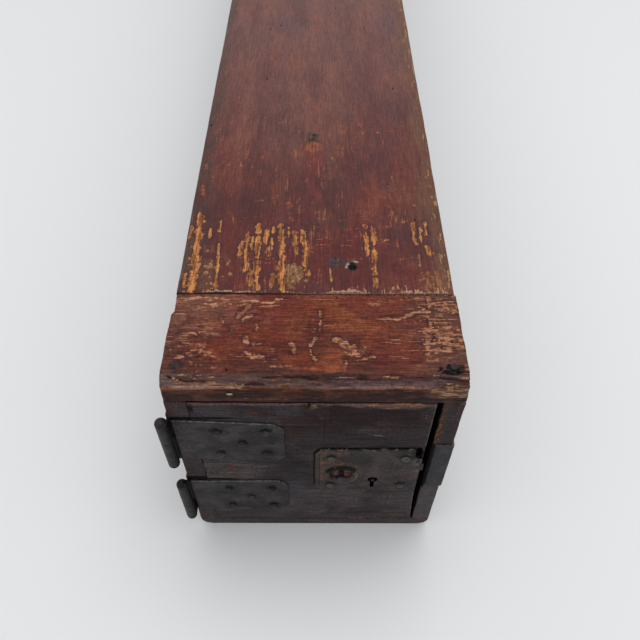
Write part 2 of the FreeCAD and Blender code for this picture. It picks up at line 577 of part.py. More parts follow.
def hinge(name, low, tilt, side_on_top):
    """A hinge: a leaf on the door, a leaf on the side board, and a pin with domed ends."""
    high = f"({low} + sizes.hinge_tall)"
    if side_on_top:
        side_low, side_high = f"({high} - sizes.side_knuckle)", high
        door_low, door_high = low, f"({side_low} - sizes.knuckle_gap)"
    else:
        side_low, side_high = low, f"({low} + sizes.side_knuckle)"
        door_low, door_high = f"({side_high} + sizes.knuckle_gap)", high
    bore = Circles("(sizes.knuckle_round - sizes.leaf_thick)", (PIN_X, PIN_Y))

    door_leaf = Piece(f"{name}_hinge_door_leaf", (PIN_X, PIN_Y, low))
    foot = f"({low} + sizes.leaf_inset)"
    head = f"({high} - sizes.leaf_inset)"
    clip = "sizes.leaf_clip"
    door_leaf.add("XZ", Outline((DOOR_LEAF_NEAR, foot),
                                (f"({DOOR_LEAF_FAR} - {clip})", f"({foot} + {tilt})"),
                                (DOOR_LEAF_FAR, f"({foot} + {tilt} + {clip})"),
                                (DOOR_LEAF_FAR, f"({head} + {tilt} - {clip})"),
                                (f"({DOOR_LEAF_FAR} - {clip})", f"({head} + {tilt})"),
                                (DOOR_LEAF_NEAR, head)), FRONT, LEAF_FRONT)
    door_leaf.add("XY", rectangle((PIN_X, LEAF_FRONT),
                                  (f"({DOOR_LEAF_NEAR} + sizes.leaf_setback)", FRONT)),
                  door_low, door_high)
    knuckle(door_leaf, door_low, door_high)
    door_leaf.cut("XY", bore, door_low, door_high)
    nail_bores(door_leaf, "XZ", DOOR_NAILS[name], LEAF_FRONT, 1, "sizes.leaf_thick")
    nails(f"{name}_hinge_door_nails", "XZ", DOOR_NAILS[name], LEAF_FRONT, -1,
          "sizes.nail_head", "sizes.nail_rise", f"({NAIL_DEPTH} + sizes.leaf_thick)")

    side_leaf = Piece(f"{name}_hinge_side_leaf", (PIN_X, PIN_Y, low))
    top = f"({high} + sizes.side_leaf_rise)"
    side_leaf.add("YZ", Outline((SIDE_LEAF_NEAR, low),
                                (f"({SIDE_LEAF_FAR} - {clip})", low),
                                (SIDE_LEAF_FAR, f"({low} + {clip})"),
                                (SIDE_LEAF_FAR, f"({top} - {clip})"),
                                (f"({SIDE_LEAF_FAR} - {clip})", top),
                                (SIDE_LEAF_NEAR, top)), SIDE_LEAF_FACE, f"(-{HALF})")
    side_leaf.add("XY", rectangle((SIDE_LEAF_FACE, PIN_Y),
                                  (f"(-{HALF})", f"({SIDE_LEAF_NEAR} + sizes.leaf_setback)")),
                  side_low, side_high)
    knuckle(side_leaf, side_low, side_high)
    side_leaf.cut("XY", bore, side_low, side_high)
    nail_bores(side_leaf, "YZ", SIDE_NAILS[name], SIDE_LEAF_FACE, 1, "sizes.leaf_thick")
    nails(f"{name}_hinge_side_nails", "YZ", SIDE_NAILS[name], SIDE_LEAF_FACE, -1,
          "sizes.nail_head", "sizes.nail_rise", f"({NAIL_DEPTH} + sizes.leaf_thick)")
    hinge_pin(name, low, high, side_on_top)


def hinge_pin(name, low, high, side_on_top):
    """The pin: its head rests on the side leaf's knuckle and clears the door leaf's."""
    clear = "sizes.knuckle_gap"
    bottom_end = f"({low} - {clear})" if side_on_top else low
    top_end = high if side_on_top else f"({high} + {clear})"
    shaft = doc.addObject("Part::Cylinder", f"{name}_pin_shaft")
    shaft.setExpression("Radius", "sizes.knuckle_round - sizes.leaf_thick - sizes.pin_fit")
    shaft.setExpression("Height", f"{top_end} - {bottom_end}")
    domes = []
    for end, level, from_angle, to_angle in (("foot", bottom_end, -90, 0), ("head", top_end, 0, 90)):
        dome = doc.addObject("Part::Sphere", f"{name}_pin_{end}")
        dome.setExpression("Radius", "sizes.knuckle_round")
        dome.Angle1 = from_angle
        dome.Angle2 = to_angle
        dome.setExpression("Placement.Base.z", f"{level} - {bottom_end}")
        domes.append(dome)
    pin = doc.addObject("Part::MultiFuse", f"{name}_hinge_pin")
    pin.Shapes = [shaft, *domes]
    pin.Label = f"{name}_hinge_pin"
    pin.setExpression("Placement.Base.x", PIN_X)
    pin.setExpression("Placement.Base.y", PIN_Y)
    pin.setExpression("Placement.Base.z", bottom_end)


hinge("upper", *HINGES["upper"], side_on_top=True)
hinge("lower", *HINGES["lower"], side_on_top=False)

# The iron strap round the front end of the right side board.
strap = Piece("strike_strap", (INNER, FRONT, "sizes.strap_low"))
strap_edge = f"({INNER} + sizes.strap_setback)"
strap_high = "(sizes.strap_low + sizes.strap_tall)"
strap.add("XY", Outline((strap_edge, f"({FRONT} - sizes.strap_thick)"),
                        (STRAP_FACE, f"({FRONT} - sizes.strap_thick)"),
                        (STRAP_FACE, f"({FRONT} + sizes.strap_reach)"),
                        (HALF, f"({FRONT} + sizes.strap_reach)"),
                        (HALF, FRONT),
                        (strap_edge, FRONT)), "sizes.strap_low", strap_high)
strap.soften("sizes.strap_bend", x=[STRAP_FACE], y=[f"({FRONT} - sizes.strap_thick)"])
nail_bores(strap, "YZ", STRAP_NAILS, STRAP_FACE, -1, "sizes.strap_thick")
nails("strike_strap_nails", "YZ", STRAP_NAILS, STRAP_FACE, 1,
      "sizes.nail_head", "sizes.nail_rise", f"({NAIL_DEPTH} + sizes.strap_thick)")

# The door board, with the mortises of the lock and the bores of everything nailed to it.
door = Piece("door_board", (DOOR_HINGE, FRONT, DOOR_LOW))
door.add("XZ", Outline((DOOR_HINGE, DOOR_LOW), (f"({DOOR_LOCK} + sizes.door_spread)", DOOR_LOW),
                       (DOOR_LOCK, f"({DOOR_LOW} + sizes.door_spread_tall)"),
                       (DOOR_LOCK, DOOR_HIGH), (DOOR_HINGE, DOOR_HIGH)), FRONT, DOOR_BACK)
door.soften("sizes.door_arris", y=[FRONT])
case_mortise = rectangle((f"({CASE_LEFT} - sizes.case_fit)", f"({CASE_LOW} - sizes.case_fit)"),
                         (f"({CASE_RIGHT} + sizes.case_fit)", f"({CASE_HIGH} + sizes.case_fit)"))
door.cut("XZ", case_mortise, FRONT, f"({CASE_BACK} + sizes.case_fit)")
bolt_channel = rectangle((f"({BOLT_FRONT} - sizes.bolt_fit)", f"({BOLT_LOW} - sizes.bolt_fit)"),
                         (f"({BOLT_BACK} + sizes.bolt_fit)", f"({BOLT_HIGH} + sizes.bolt_fit)"))
door.cut("YZ", bolt_channel, DOOR_LOCK, CASE_RIGHT)
CUP_BORE = "(sizes.cup_round + sizes.cup_wall + sizes.cup_fit)"
door.cut("XZ", Circles(CUP_BORE, (PULL_X, PULL_Z)), FRONT,
         f"({PLATE_FACE} + sizes.cup_deep + sizes.cup_wall + sizes.cup_fit)")
STEM_BORE = "(sizes.knob_stem + sizes.knob_fit)"
door.cut("XZ", Circles(STEM_BORE, (PULL_X, PULL_Z)), FRONT, DOOR_BACK)
for nail_spots in (*DOOR_NAILS.values(), PLATE_NAILS, [PLATE_TACK]):
    nail_bores(door, "XZ", nail_spots, FRONT, 1, NAIL_DEPTH)

# The lock plate: rounded away from the door's edge, with one corner rusted off.
plate = Piece("lock_plate", (PLATE_LEFT, FRONT, PLATE_LOW))
loss_x = f"({PLATE_RIGHT} - sizes.plate_loss_wide)"
loss_z = f"({PLATE_HIGH} - sizes.plate_loss_tall)"
plate.add("XZ", Outline((PLATE_LEFT, PLATE_LOW), (PLATE_RIGHT, PLATE_LOW), (PLATE_RIGHT, loss_z),
                        (f"({loss_x} + sizes.plate_loss_bevel)", loss_z),
                        (loss_x, f"({loss_z} + sizes.plate_loss_bevel)"),
                        (loss_x, PLATE_HIGH), (PLATE_LEFT, PLATE_HIGH)), FRONT, PLATE_FACE)
plate.soften("sizes.plate_corner", x=[PLATE_LEFT], z=[PLATE_LOW, PLATE_HIGH])
plate.cut("XZ", Circles("sizes.keyhole_round", (KEY_X, KEY_Z)), PLATE_FACE, FRONT)
plate.cut("XZ", rectangle((f"({KEY_X} - sizes.keyhole_slot / 2)", f"({KEY_Z} - sizes.keyhole_drop)"),
                          (f"({KEY_X} + sizes.keyhole_slot / 2)", KEY_Z)), PLATE_FACE, FRONT)
plate.cut("XZ", Circles(CUP_BORE, (PULL_X, PULL_Z)), PLATE_FACE, FRONT)
nail_bores(plate, "XZ", [*PLATE_NAILS, PLATE_TACK], PLATE_FACE, 1, "sizes.plate_thick")
nails("lock_plate_nails", "XZ", PLATE_NAILS, PLATE_FACE, -1,
      "sizes.nail_head", "sizes.nail_rise", f"({NAIL_DEPTH} + sizes.plate_thick)")
nails("lock_plate_tack", "XZ", [PLATE_TACK], PLATE_FACE, -1,
      "sizes.small_head", "sizes.small_rise", f"({NAIL_DEPTH} + sizes.plate_thick)")


def round_profile(*points):
    """A profile for turning about the pull's line, given as (radius, y) pairs."""
    return Outline(*((f"({PULL_X} + {radius})", y) for radius, y in points))


# The pull: a dished rosette let into the plate, and a knob riveted through the door.
lip_crest = f"({PLATE_FACE} - sizes.rosette_lip)"
cup_floor = f"({PLATE_FACE} + sizes.cup_deep)"
cup_under = f"({cup_floor} + sizes.cup_wall)"
rosette = Piece("pull_rosette", (PULL_X, PLATE_FACE, PULL_Z))
rosette.turn(round_profile((STEM_BORE, cup_floor), ("(sizes.cup_round - sizes.cup_wall)", cup_floor),
                           ("sizes.cup_round", PLATE_FACE), ("sizes.lip_inner", lip_crest),
                           ("sizes.lip_outer", lip_crest), ("sizes.rosette_round", PLATE_FACE),
                           ("(sizes.cup_round + sizes.cup_wall)", PLATE_FACE),
                           ("sizes.cup_round", cup_under), (STEM_BORE, cup_under)))
rosette.soften("sizes.lip_edge", y=[lip_crest])
knob_face = f"({PLATE_FACE} - sizes.knob_reach)"
knob_under = f"({knob_face} + sizes.knob_head)"
rivet_end = f"({DOOR_BACK} + sizes.knob_rivet_thick)"
knob = Piece("pull_knob", (PULL_X, PLATE_FACE, PULL_Z))
knob.turn(round_profile(("0", rivet_end), ("sizes.knob_rivet", rivet_end), ("sizes.knob_rivet", DOOR_BACK),
                        ("sizes.knob_stem", DOOR_BACK), ("sizes.knob_stem", knob_under),
                        ("sizes.knob_round", knob_under), ("sizes.knob_round", knob_face),
                        ("0", knob_face)))
knob.soften("sizes.knob_face_edge", y=[knob_face])

# The lock case: a tray let into the door, with its open side against the plate.
case = Piece("lock_case", (CASE_LEFT, FRONT, CASE_LOW))
case.add("XZ", rectangle((CASE_LEFT, CASE_LOW), (CASE_RIGHT, CASE_HIGH)), FRONT, CASE_BACK)
wall = "sizes.case_wall"
case.cut("XZ", rectangle((f"({CASE_LEFT} + {wall})", f"({CASE_LOW} + {wall})"),
                         (f"({CASE_RIGHT} - {wall})", f"({CASE_HIGH} - {wall})")),
         FRONT, f"({CASE_BACK} - {wall})")
case.cut("YZ", bolt_channel, CASE_RIGHT, f"({CASE_RIGHT} - {wall})")

# The pin that the hollow key turns on, from the back of the case to just in front of the plate.
key_pin = doc.addObject("Part::Cylinder", "key_pin")
key_pin.Label = "key_pin"
key_pin.setExpression("Radius", "sizes.key_pin_round")
key_pin.setExpression("Height", f"{CASE_BACK} - {wall} - {PLATE_FACE} + sizes.key_pin_show")
key_pin.Placement = FreeCAD.Placement(Vector(), FreeCAD.Rotation(Vector(1, 0, 0), 90))
key_pin.setExpression("Placement.Base.x", KEY_X)
key_pin.setExpression("Placement.Base.y", f"{CASE_BACK} - {wall}")
key_pin.setExpression("Placement.Base.z", KEY_Z)

# The bolt, drawn back so that the door can open, with the notch that the key moves it by.
bolt = Piece("lock_bolt", (CASE_LEFT, BOLT_FRONT, BOLT_LOW))
bolt_tail = f"({CASE_LEFT} + sizes.bolt_tail)"
bolt.add("XZ", rectangle((bolt_tail, BOLT_LOW), (BOLT_TIP, BOLT_HIGH)), BOLT_FRONT, BOLT_BACK)
talon_left = f"({KEY_X} + sizes.talon_side)"
bolt.cut("XZ", rectangle((talon_left, BOLT_LOW),
                         (f"({talon_left} + sizes.talon_wide)", f"({BOLT_LOW} + sizes.talon_deep)")),
         BOLT_FRONT, BOLT_BACK)

# The leaf spring, fixed under the top of the case, that presses on the bolt.
spring = Piece("bolt_spring", (CASE_LEFT, BOLT_FRONT, CASE_HIGH))
leaf = "sizes.spring_thick"
spring_left = f"({CASE_LEFT} + sizes.spring_start)"
spring_right = f"({CASE_RIGHT} - sizes.spring_end)"
spring_bend = f"(({spring_left} + {spring_right}) / 2)"
spring_heel = f"({spring_right} - sizes.spring_toe)"
spring_top = f"({CASE_HIGH} - {wall})"
spring_foot = f"({BOLT_HIGH} + sizes.spring_gap)"
toe_low = f"({spring_foot} + sizes.spring_toe_rise)"
spring_front = f"({BOLT_FRONT} + (sizes.bolt_thick - sizes.spring_wide) / 2)"
spring.add("XZ", Outline((spring_left, f"({spring_top} - {leaf})"), (spring_left, spring_top),
                         (spring_bend, spring_top), (spring_heel, f"({spring_foot} + {leaf})"),
                         (spring_right, f"({toe_low} + {leaf})"), (spring_right, toe_low),
                         (spring_heel, spring_foot), (spring_bend, f"({spring_top} - {leaf})")),
           spring_front, f"({spring_front} + sizes.spring_wide)")

# Every feature has to be sound before anything is written.
doc.recompute()
for thing in doc.Objects:
    if {"Invalid", "Error"} & set(thing.State):
        raise RuntimeError(f"{thing.Label} failed: {thing.State}")

pieces = [thing for thing in doc.Objects
          if thing.TypeId in ("PartDesign::Body", "Part::MultiFuse") or thing is key_pin]
for piece in pieces:
    if piece.Shape.isNull() or not piece.Shape.isValid():
        raise RuntimeError(f"{piece.Label} has no sound shape")

os.makedirs("parts", exist_ok=True)
for piece in pieces:
    piece.Shape.exportStep(f"parts/{piece.Label}.step")
    print(f"{piece.Label}: {len(piece.Shape.Solids)} solid(s), {piece.Shape.Volume / 1000:.2f} cm3")
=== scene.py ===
# %% [markdown]
# # A long wooden chest with a door in its end
# The boards, irons and lock arrive as plain solids that already fit together. Here they get the
# surface that long use gave them: worn lacquer, bruised edges, insect tracks, rust. Some shade,
# shadows and highlights are painted into their colours as well.
# Every cell makes one piece or one finish, so the chest can be followed from floor to nail heads.

# %% Load the fitted solids
import math

import bmesh
import bpy
import numpy as np
from mathutils import Matrix, Vector


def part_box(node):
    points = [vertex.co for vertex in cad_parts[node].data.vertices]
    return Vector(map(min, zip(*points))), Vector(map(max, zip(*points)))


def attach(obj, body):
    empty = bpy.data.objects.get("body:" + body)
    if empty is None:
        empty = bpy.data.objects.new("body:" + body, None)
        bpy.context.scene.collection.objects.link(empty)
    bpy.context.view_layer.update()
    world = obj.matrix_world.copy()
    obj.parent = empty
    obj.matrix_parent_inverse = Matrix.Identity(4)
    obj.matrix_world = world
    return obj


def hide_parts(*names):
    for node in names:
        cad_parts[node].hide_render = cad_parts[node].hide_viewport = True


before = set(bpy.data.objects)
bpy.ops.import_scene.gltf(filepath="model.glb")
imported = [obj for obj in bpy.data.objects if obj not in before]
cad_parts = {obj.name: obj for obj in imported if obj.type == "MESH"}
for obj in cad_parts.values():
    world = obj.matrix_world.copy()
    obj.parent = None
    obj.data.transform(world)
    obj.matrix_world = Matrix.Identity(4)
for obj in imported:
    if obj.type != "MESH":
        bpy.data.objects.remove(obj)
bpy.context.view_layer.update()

# %% [markdown]
# ## Places that the pieces share
# Boards are measured in millimetres, as a joiner would, and turned into metres only when a mesh is
# written. The chest's own solids say where its faces are, so nothing is measured twice.

# %% Read the chest's main faces
MM = 0.001


def reach(node):
    """The lowest and the highest corner of a solid, in millimetres."""
    low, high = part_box(node)
    return np.array(low) / MM, np.array(high) / MM


side_low = reach("side_board_left")[0]
cap_low, cap_high = reach("top_cap_front")
door_low, door_high = reach("door_board")
FRONT = side_low[1]
ROOF = cap_high[2]
CAP_JOINT = cap_high[1]
print(f"front {FRONT:.1f}, roof {ROOF:.1f}, cap joint {CAP_JOINT:.1f} mm")

# %% [markdown]
# ## Camera
# The eye stands over the door end and looks down along the lid at about fifty degrees. A camera's
# matrix is its right, its up and its backward direction, which a small roll tilts.

# %% Set up the camera
EYE = (1.5, FRONT - 277.9, 677.8)
LENS_MM = 36.68
PITCH_DOWN = math.radians(50.37)
YAW = math.radians(0.41)
ROLL = math.radians(0.54)

ahead = Vector((math.sin(YAW) * math.cos(PITCH_DOWN), math.cos(YAW) * math.cos(PITCH_DOWN),
                -math.sin(PITCH_DOWN)))
level = Vector((math.cos(YAW), -math.sin(YAW), 0))
upright = level.cross(ahead)
right = math.cos(ROLL) * level + math.sin(ROLL) * upright
up = math.cos(ROLL) * upright - math.sin(ROLL) * level

camera = bpy.data.objects.new("camera", bpy.data.cameras.new("camera"))
camera.data.lens = LENS_MM
camera.data.sensor_width = 36
camera.data.clip_start = 0.01
camera.matrix_world = (Matrix.Translation(Vector(EYE) * MM)
                       @ Matrix((right, up, -ahead)).transposed().to_4x4())
bpy.context.scene.collection.objects.link(camera)
bpy.context.scene.camera = camera
bpy.context.scene.view_settings.view_transform = "Standard"
print("camera looks", tuple(round(part, 3) for part in ahead))

# %% [markdown]
# ## Light
# One broad soft lamp hangs high over the door end, out of the lid's mirror line, so the lid keeps its
# colour and only the round nose and the upper edges of the irons catch a glint. A pale sky fills in.

# %% Hang the lamp and light the sky
def soft_lamp(name, place, aim, size, watts):
    """A square area lamp at a place, turned towards another."""
    lamp = bpy.data.objects.new(name, bpy.data.lights.new(name, "AREA"))
    lamp.data.size = size
    lamp.data.energy = watts
    lamp.location = place
    lamp.rotation_euler = (Vector(aim) - Vector(place)).to_track_quat("-Z", "Y").to_euler()
    bpy.context.scene.collection.objects.link(lamp)


soft_lamp("high_lamp", (0.25, -0.25, 2.2), (0.05, -0.5, 0), 1.2, 13.5)

world = bpy.data.worlds.new("pale_sky")
bpy.context.scene.world = world
world.use_nodes = True
sky = world.node_tree.nodes["Background"]
sky.inputs["Color"].default_value = (0.985, 0.99, 1.0, 1)
sky.inputs["Strength"].default_value = 0.88
print("lamps:", len(bpy.data.lights))

# %% [markdown]
# ## Shader arithmetic
# A finish is a recipe of masks: "where the board is worn, but not where it is dirty". Written as
# Python sums these read like the recipe, so a small class turns each sum into its Math node.

# %% Wrap a socket so that sums become nodes
class Signal:
    """A number that varies over a surface: one output of a shader tree."""

    def __init__(self, finish, socket):
        self.finish = finish
        self.socket = socket

    def _math(self, operation, first, second):
        return self.finish.node("Math", {"operation": operation}, {0: first, 1: second})

    def __add__(self, other):
        return self._math("ADD", self, other)

    def __sub__(self, other):
        return self._math("SUBTRACT", self, other)

    def __rsub__(self, other):
        return self._math("SUBTRACT", other, self)

    def __mul__(self, other):
        return self._math("MULTIPLY", self, other)

    __radd__ = __add__
    __rmul__ = __mul__

    def above(self, low, high):
        """0 below low, 1 above high, and a smooth step between them."""
        return self.finish.node("MapRange", {"interpolation_type": "SMOOTHSTEP"},
                                {"Value": self, "From Min": low, "From Max": high})


# %% Make every other node with one method
class Finish:
    """A material and the recipe that it is built from."""

    def __init__(self, name, roughness=0.5, specular=0.5, metallic=0.0):
        self.material = bpy.data.materials.new(name)
        self.material.use_nodes = True
        self.tree = self.material.node_tree
        self.shader = self.tree.nodes["Principled BSDF"]
        self.shader.inputs["Roughness"].default_value = roughness
        self.shader.inputs["Specular IOR Level"].default_value = specular
        self.shader.inputs["Metallic"].default_value = metallic

    def feed(self, socket, value):
        if isinstance(value, Signal):
            self.tree.links.new(value.socket, socket)
        elif isinstance(value, tuple) and len(value) < len(socket.default_value):
            socket.default_value = (*value, 1)
        else:
            socket.default_value = value

    def node(self, kind, settings=None, inputs=None, output=0):
        """A node of one kind: its settings first, then a value or a link for each socket."""
        made = self.tree.nodes.new(f"ShaderNode{kind}")
        for name, value in (settings or {}).items():
            setattr(made, name, value)
        for name, value in (inputs or {}).items():
            self.feed(made.inputs[name], value)
        return Signal(self, made.outputs[output])

    def place(self, scale=(1, 1, 1), shift=(0, 0, 0)):
        """The point on the object, in metres, stretched by a scale."""
        spot = self.node("TexCoord", output="Object")
        spot = self.node("VectorMath", {"operation": "ADD"}, {0: spot, 1: shift})
        return self.node("VectorMath", {"operation": "MULTIPLY"}, {0: spot, 1: scale})

    def noise(self, place, scale, detail=3.0, rough=0.55, warp=0.0):
        return self.node("TexNoise", {"noise_dimensions": "3D"},
                         {"Vector": place, "Scale": scale, "Detail": detail,
                          "Roughness": rough, "Distortion": warp})

    def mix(self, share, first, second, how="MIX"):
        """Two colours, mixed by a share."""
        return self.node("Mix", {"data_type": "RGBA", "blend_type": how, "clamp_factor": True},
                         {0: share, 6: first, 7: second}, output=2)

    def layer(self, name):
        """The colour that was laid on the points of a piece, and how thickly."""
        return (self.node("Attribute", {"attribute_name": f"{name}_tint"}, output="Color"),
                self.node("Attribute", {"attribute_name": f"{name}_share"}, output="Fac"))

    def bump(self, height, millimetres):
        """Let a height signal tilt the surface by so many millimetres of relief."""
        normal = self.node("Bump", {}, {"Height": height, "Distance": millimetres * MM})
        self.feed(self.shader.inputs["Normal"], normal)


# %% [markdown]
# ## Worn wood
# Old lacquer is never one colour: it lies darker in hollows, thins along the grain where hands and
# cloths rubbed it, and chips to bare wood. Four noises, stretched along the grain, give those
# layers. Two more come from the points of the board itself: a wash, which stains it softly, and
# marks, whose edges the fibres tear.

# %% Write the recipe for worn wood
def stretched(grain, across, along):
    """A scale that is coarse along the grain, which is "x", "y" or "z", and fine across it."""
    return tuple(along if axis == grain else across for axis in "xyz")


MARK_ROUGHNESS = 0.75


def worn_wood(name, grain, dark, light, worn, wear=0.5, roughness=0.45, specular=0.4, relief=0.12,
              shift=(0, 0, 0), streak=(170, 14), fibre=(620, 45), grit=0.5, contrast=1.0):
    """A lacquered or stained wood of three colours: in the hollows, elsewhere, and where it is rubbed."""
    finish = Finish(name, specular=specular)
    place = finish.place(shift=shift)
    patches = finish.noise(place, 14, 5, 0.65)
    streaks = finish.noise(finish.place(stretched(grain, *streak), shift), 1, 3, 0.6)
    fibres = finish.noise(finish.place(stretched(grain, *fibre), shift), 1, 2, 0.6)
    specks = finish.noise(place, 420, 2, 0.7)

    colour = finish.mix(patches.above(0.38, 0.62), dark, light)
    shade = streaks * (0.55 - grit * 0.3) + fibres * 0.45 + specks * (grit * 0.3)
    darkest, lightest = 1 - 0.46 * contrast, 1 + 0.38 * contrast
    warm_light = (lightest, lightest - 0.03, lightest - 0.07)
    shades = finish.mix(shade.above(0.36, 0.64), (darkest,) * 3, warm_light)
    colour = finish.mix(1.0, colour, shades, "MULTIPLY")
    rubbed = streaks * 0.35 + fibres * 0.35 + patches * 0.4 + specks * 0.4 - (1.0 - wear) * 0.22
    colour = finish.mix(rubbed.above(0.66, 0.84), colour, worn)

    stain, stained = finish.layer("wash")
    stain = finish.mix(1.0, stain, shades, "MULTIPLY")
    colour = finish.mix(stained + stained * (1.0 - stained) * (patches - 0.5) * 3.0, colour, stain)

    tint, share = finish.layer("mark")
    ragged = (specks - 0.5) * 0.9 + (fibres - 0.5) * 1.0 + (streaks - 0.5) * 0.4
    edge = (share + ragged).above(0.36, 0.6)
    flayed = fibres * 0.6 + specks * 0.4
    fraying = finish.mix(flayed.above(0.4, 0.6), (0.5, 0.42, 0.34), (1.2, 1.2, 1.2))
    tint = finish.mix(1.0, tint, fraying, "MULTIPLY")
    colour = finish.mix(edge, colour, tint)
    finish.feed(finish.shader.inputs["Base Color"], colour)
    rough = roughness + (patches - 0.5) * 0.25 + edge * (MARK_ROUGHNESS - roughness)
    finish.feed(finish.shader.inputs["Roughness"], rough)
    finish.bump(fibres * 0.7 + streaks * 0.5 - edge * 0.35 + specks * 0.35, relief)
    return finish.material


# %% [markdown]
# ## Wrought iron
# Hammered iron is flat grey only at a distance. Close to, scale and rust mottle it brown, pits hold
# the rust, and the rubbed edges are later painted pale blue-grey, as wear and as a painted highlight.
# It reflects broadly, so its roughness stays high.

# %% Write the recipe for old iron
def old_iron(name, base, scale, rust, rusting=0.5, roughness=0.5, metallic=0.55, relief=0.2):
    """A forged iron: its own colour, the scale that mottles it, and its rust."""
    finish = Finish(name, specular=0.15, metallic=metallic)
    place = finish.place()
    clouds = finish.noise(place, 45, 4, 0.6)
    grit = finish.noise(place, 420, 3, 0.65)
    pits = finish.node("TexVoronoi", {"feature": "F1"}, {"Vector": place, "Scale": 330.0},
                       output="Distance")
    colour = finish.mix(clouds.above(0.35, 0.7), base, scale)
    shades = finish.mix((grit * 0.6 + clouds * 0.4).above(0.36, 0.62), (0.5, 0.49, 0.49), (1.5, 1.5, 1.52))
    colour = finish.mix(1.0, colour, shades, "MULTIPLY")
    rusty = (clouds * 0.6 + grit * 0.5 - (1.0 - rusting) * 0.2).above(0.48, 0.66)
    colour = finish.mix(rusty * 0.85, colour, rust)
    stain, stained = finish.layer("wash")
    stain = finish.mix(1.0, stain, shades, "MULTIPLY")
    colour = finish.mix(stained + stained * (1.0 - stained) * (grit - 0.5) * 3.0, colour, stain)
    tint, share = finish.layer("mark")
    edge = (share + (grit - 0.5) * 1.4).above(0.35, 0.65)
    colour = finish.mix(edge, colour, tint)
    finish.feed(finish.shader.inputs["Base Color"], colour)
    finish.feed(finish.shader.inputs["Roughness"], roughness + rusty * 0.25 + (grit - 0.5) * 0.2)
    finish.feed(finish.shader.inputs["Metallic"], metallic - rusty * metallic * 0.7)
    finish.bump(grit * 0.6 + pits * 0.5 + clouds * 0.6, relief)
    return finish.material


# %% Mix the finishes of this chest
lid_lacquer = worn_wood("lid_lacquer", "y", (0.062, 0.015, 0.015), (0.108, 0.021, 0.014), (0.17, 0.056, 0.03),
                        wear=0.35, roughness=0.45, specular=0.2, grit=1.2, contrast=0.75)
cap_lacquer = worn_wood("cap_lacquer", "x", (0.090, 0.020, 0.014), (0.158, 0.037, 0.019), (0.21, 0.08, 0.040),
                        wear=0.45, roughness=0.45, specular=0.07, relief=0.25, shift=(0.3, 0, 0),
                        streak=(330, 40), fibre=(620, 70), grit=1.1, contrast=1.1)
door_black = worn_wood("door_black", "x", (0.020, 0.016, 0.018), (0.031, 0.021, 0.021), (0.058, 0.040, 0.036),
                       wear=0.25, roughness=0.5, specular=0.04, grit=1.6, shift=(0.1, 0, 0.1))
side_black = worn_wood("side_black", "y", (0.028, 0.023, 0.025), (0.044, 0.032, 0.033), (0.075, 0.048, 0.040),
                       wear=0.3, roughness=0.5, specular=0.05, shift=(0, 0, 0.7), grit=1.0)
bare_wood = worn_wood("bare_wood", "z", (0.12, 0.07, 0.04), (0.2, 0.12, 0.07), (0.27, 0.18, 0.11), wear=0.4,
                      roughness=0.7, specular=0.2)
peg_wood = worn_wood("peg_wood", "z", (0.05, 0.025, 0.015), (0.1, 0.05, 0.03), (0.16, 0.09, 0.05),
                     roughness=0.6)
hinge_iron = old_iron("hinge_iron", (0.022, 0.019, 0.020), (0.042, 0.036, 0.036), (0.058, 0.037, 0.030), 0.5)
nail_iron = old_iron("nail_iron", (0.032, 0.028, 0.028), (0.082, 0.073, 0.074), (0.075, 0.042, 0.033), 0.45)
plate_iron = old_iron("plate_iron", (0.025, 0.020, 0.019), (0.043, 0.033, 0.031), (0.07, 0.036, 0.024), 0.5,
                      roughness=0.58, metallic=0.3, relief=0.3)
dark_iron = old_iron("dark_iron", (0.013, 0.010, 0.011), (0.030, 0.020, 0.021), (0.050, 0.026, 0.018), 0.5,
                     metallic=0.2)
bolt_steel = old_iron("bolt_steel", (0.035, 0.026, 0.026), (0.060, 0.045, 0.045), (0.085, 0.055, 0.048), 0.5)
lock_steel = old_iron("lock_steel", (0.010, 0.009, 0.009), (0.018, 0.015, 0.014), (0.03, 0.018, 0.013), 0.5)
print("finishes:", [made.name for made in bpy.data.materials if made.use_nodes])

# %% [markdown]
# ## Repeatable roughness
# Wear is random, but the chest must come out the same each time. A lattice of fixed random numbers,
# one for each whole-number cell, is smoothed into a noise that any point can look up.

# %% Make a noise for points
def lattice(cells, seed):
    """A fixed random number between -1 and 1 for each whole-number cell."""
    mixed = cells @ np.array([374761393, 668265263, 1440662683]) + seed * 1274126177
    mixed = (mixed ^ (mixed >> 13)) * 1103515245 & 0xFFFFFFFF
    mixed = (mixed ^ (mixed >> 16)) * 668265263 & 0xFFFFFFFF
    return mixed / 2**31 - 1


def noise(points, size, seed=0, octaves=3):
    """Smooth random numbers, about -1 to 1, in lumps of a size in millimetres."""
    total = np.zeros(len(points))
    for octave in range(octaves):
        spot = points / (np.asarray(size, dtype=float) / 2**octave)
        cell = np.floor(spot).astype(np.int64)
        ease = (spot - cell) ** 2 * (3 - 2 * (spot - cell))
        for corner in np.ndindex(2, 2, 2):
            weight = np.prod(np.where(corner, ease, 1 - ease), axis=1)
            total += weight * lattice(cell + corner, seed + octave) / 2**octave
    return total


def ramp(values, low, high):
    """0 below low, 1 above high, smooth between."""
    share = np.clip((values - low) / (high - low), 0, 1)
    return share * share * (3 - 2 * share)


def fade(values, low, high):
    """1 below low, 0 above high, smooth between."""
    return 1 - ramp(values, low, high)


def in_plane(spots):
    """Places on a plane as points in space, so that a noise can be looked up there."""
    return np.column_stack([spots, np.zeros(len(spots))])


print("noise at two points:", noise(np.array([(1.0, 2.0, 3.0), (5.0, 9.0, 2.0)]), 10).round(3))


# %% [markdown]
# ## Boards
# A board is a dense grid on its best face, rings of points that run back round its edges, and one
# flat face behind. Points start on a sharp box and settle onto the worn shape: a distance function
# says how far each is from it, and its slope says which way to go. Marks then dent and tint them.

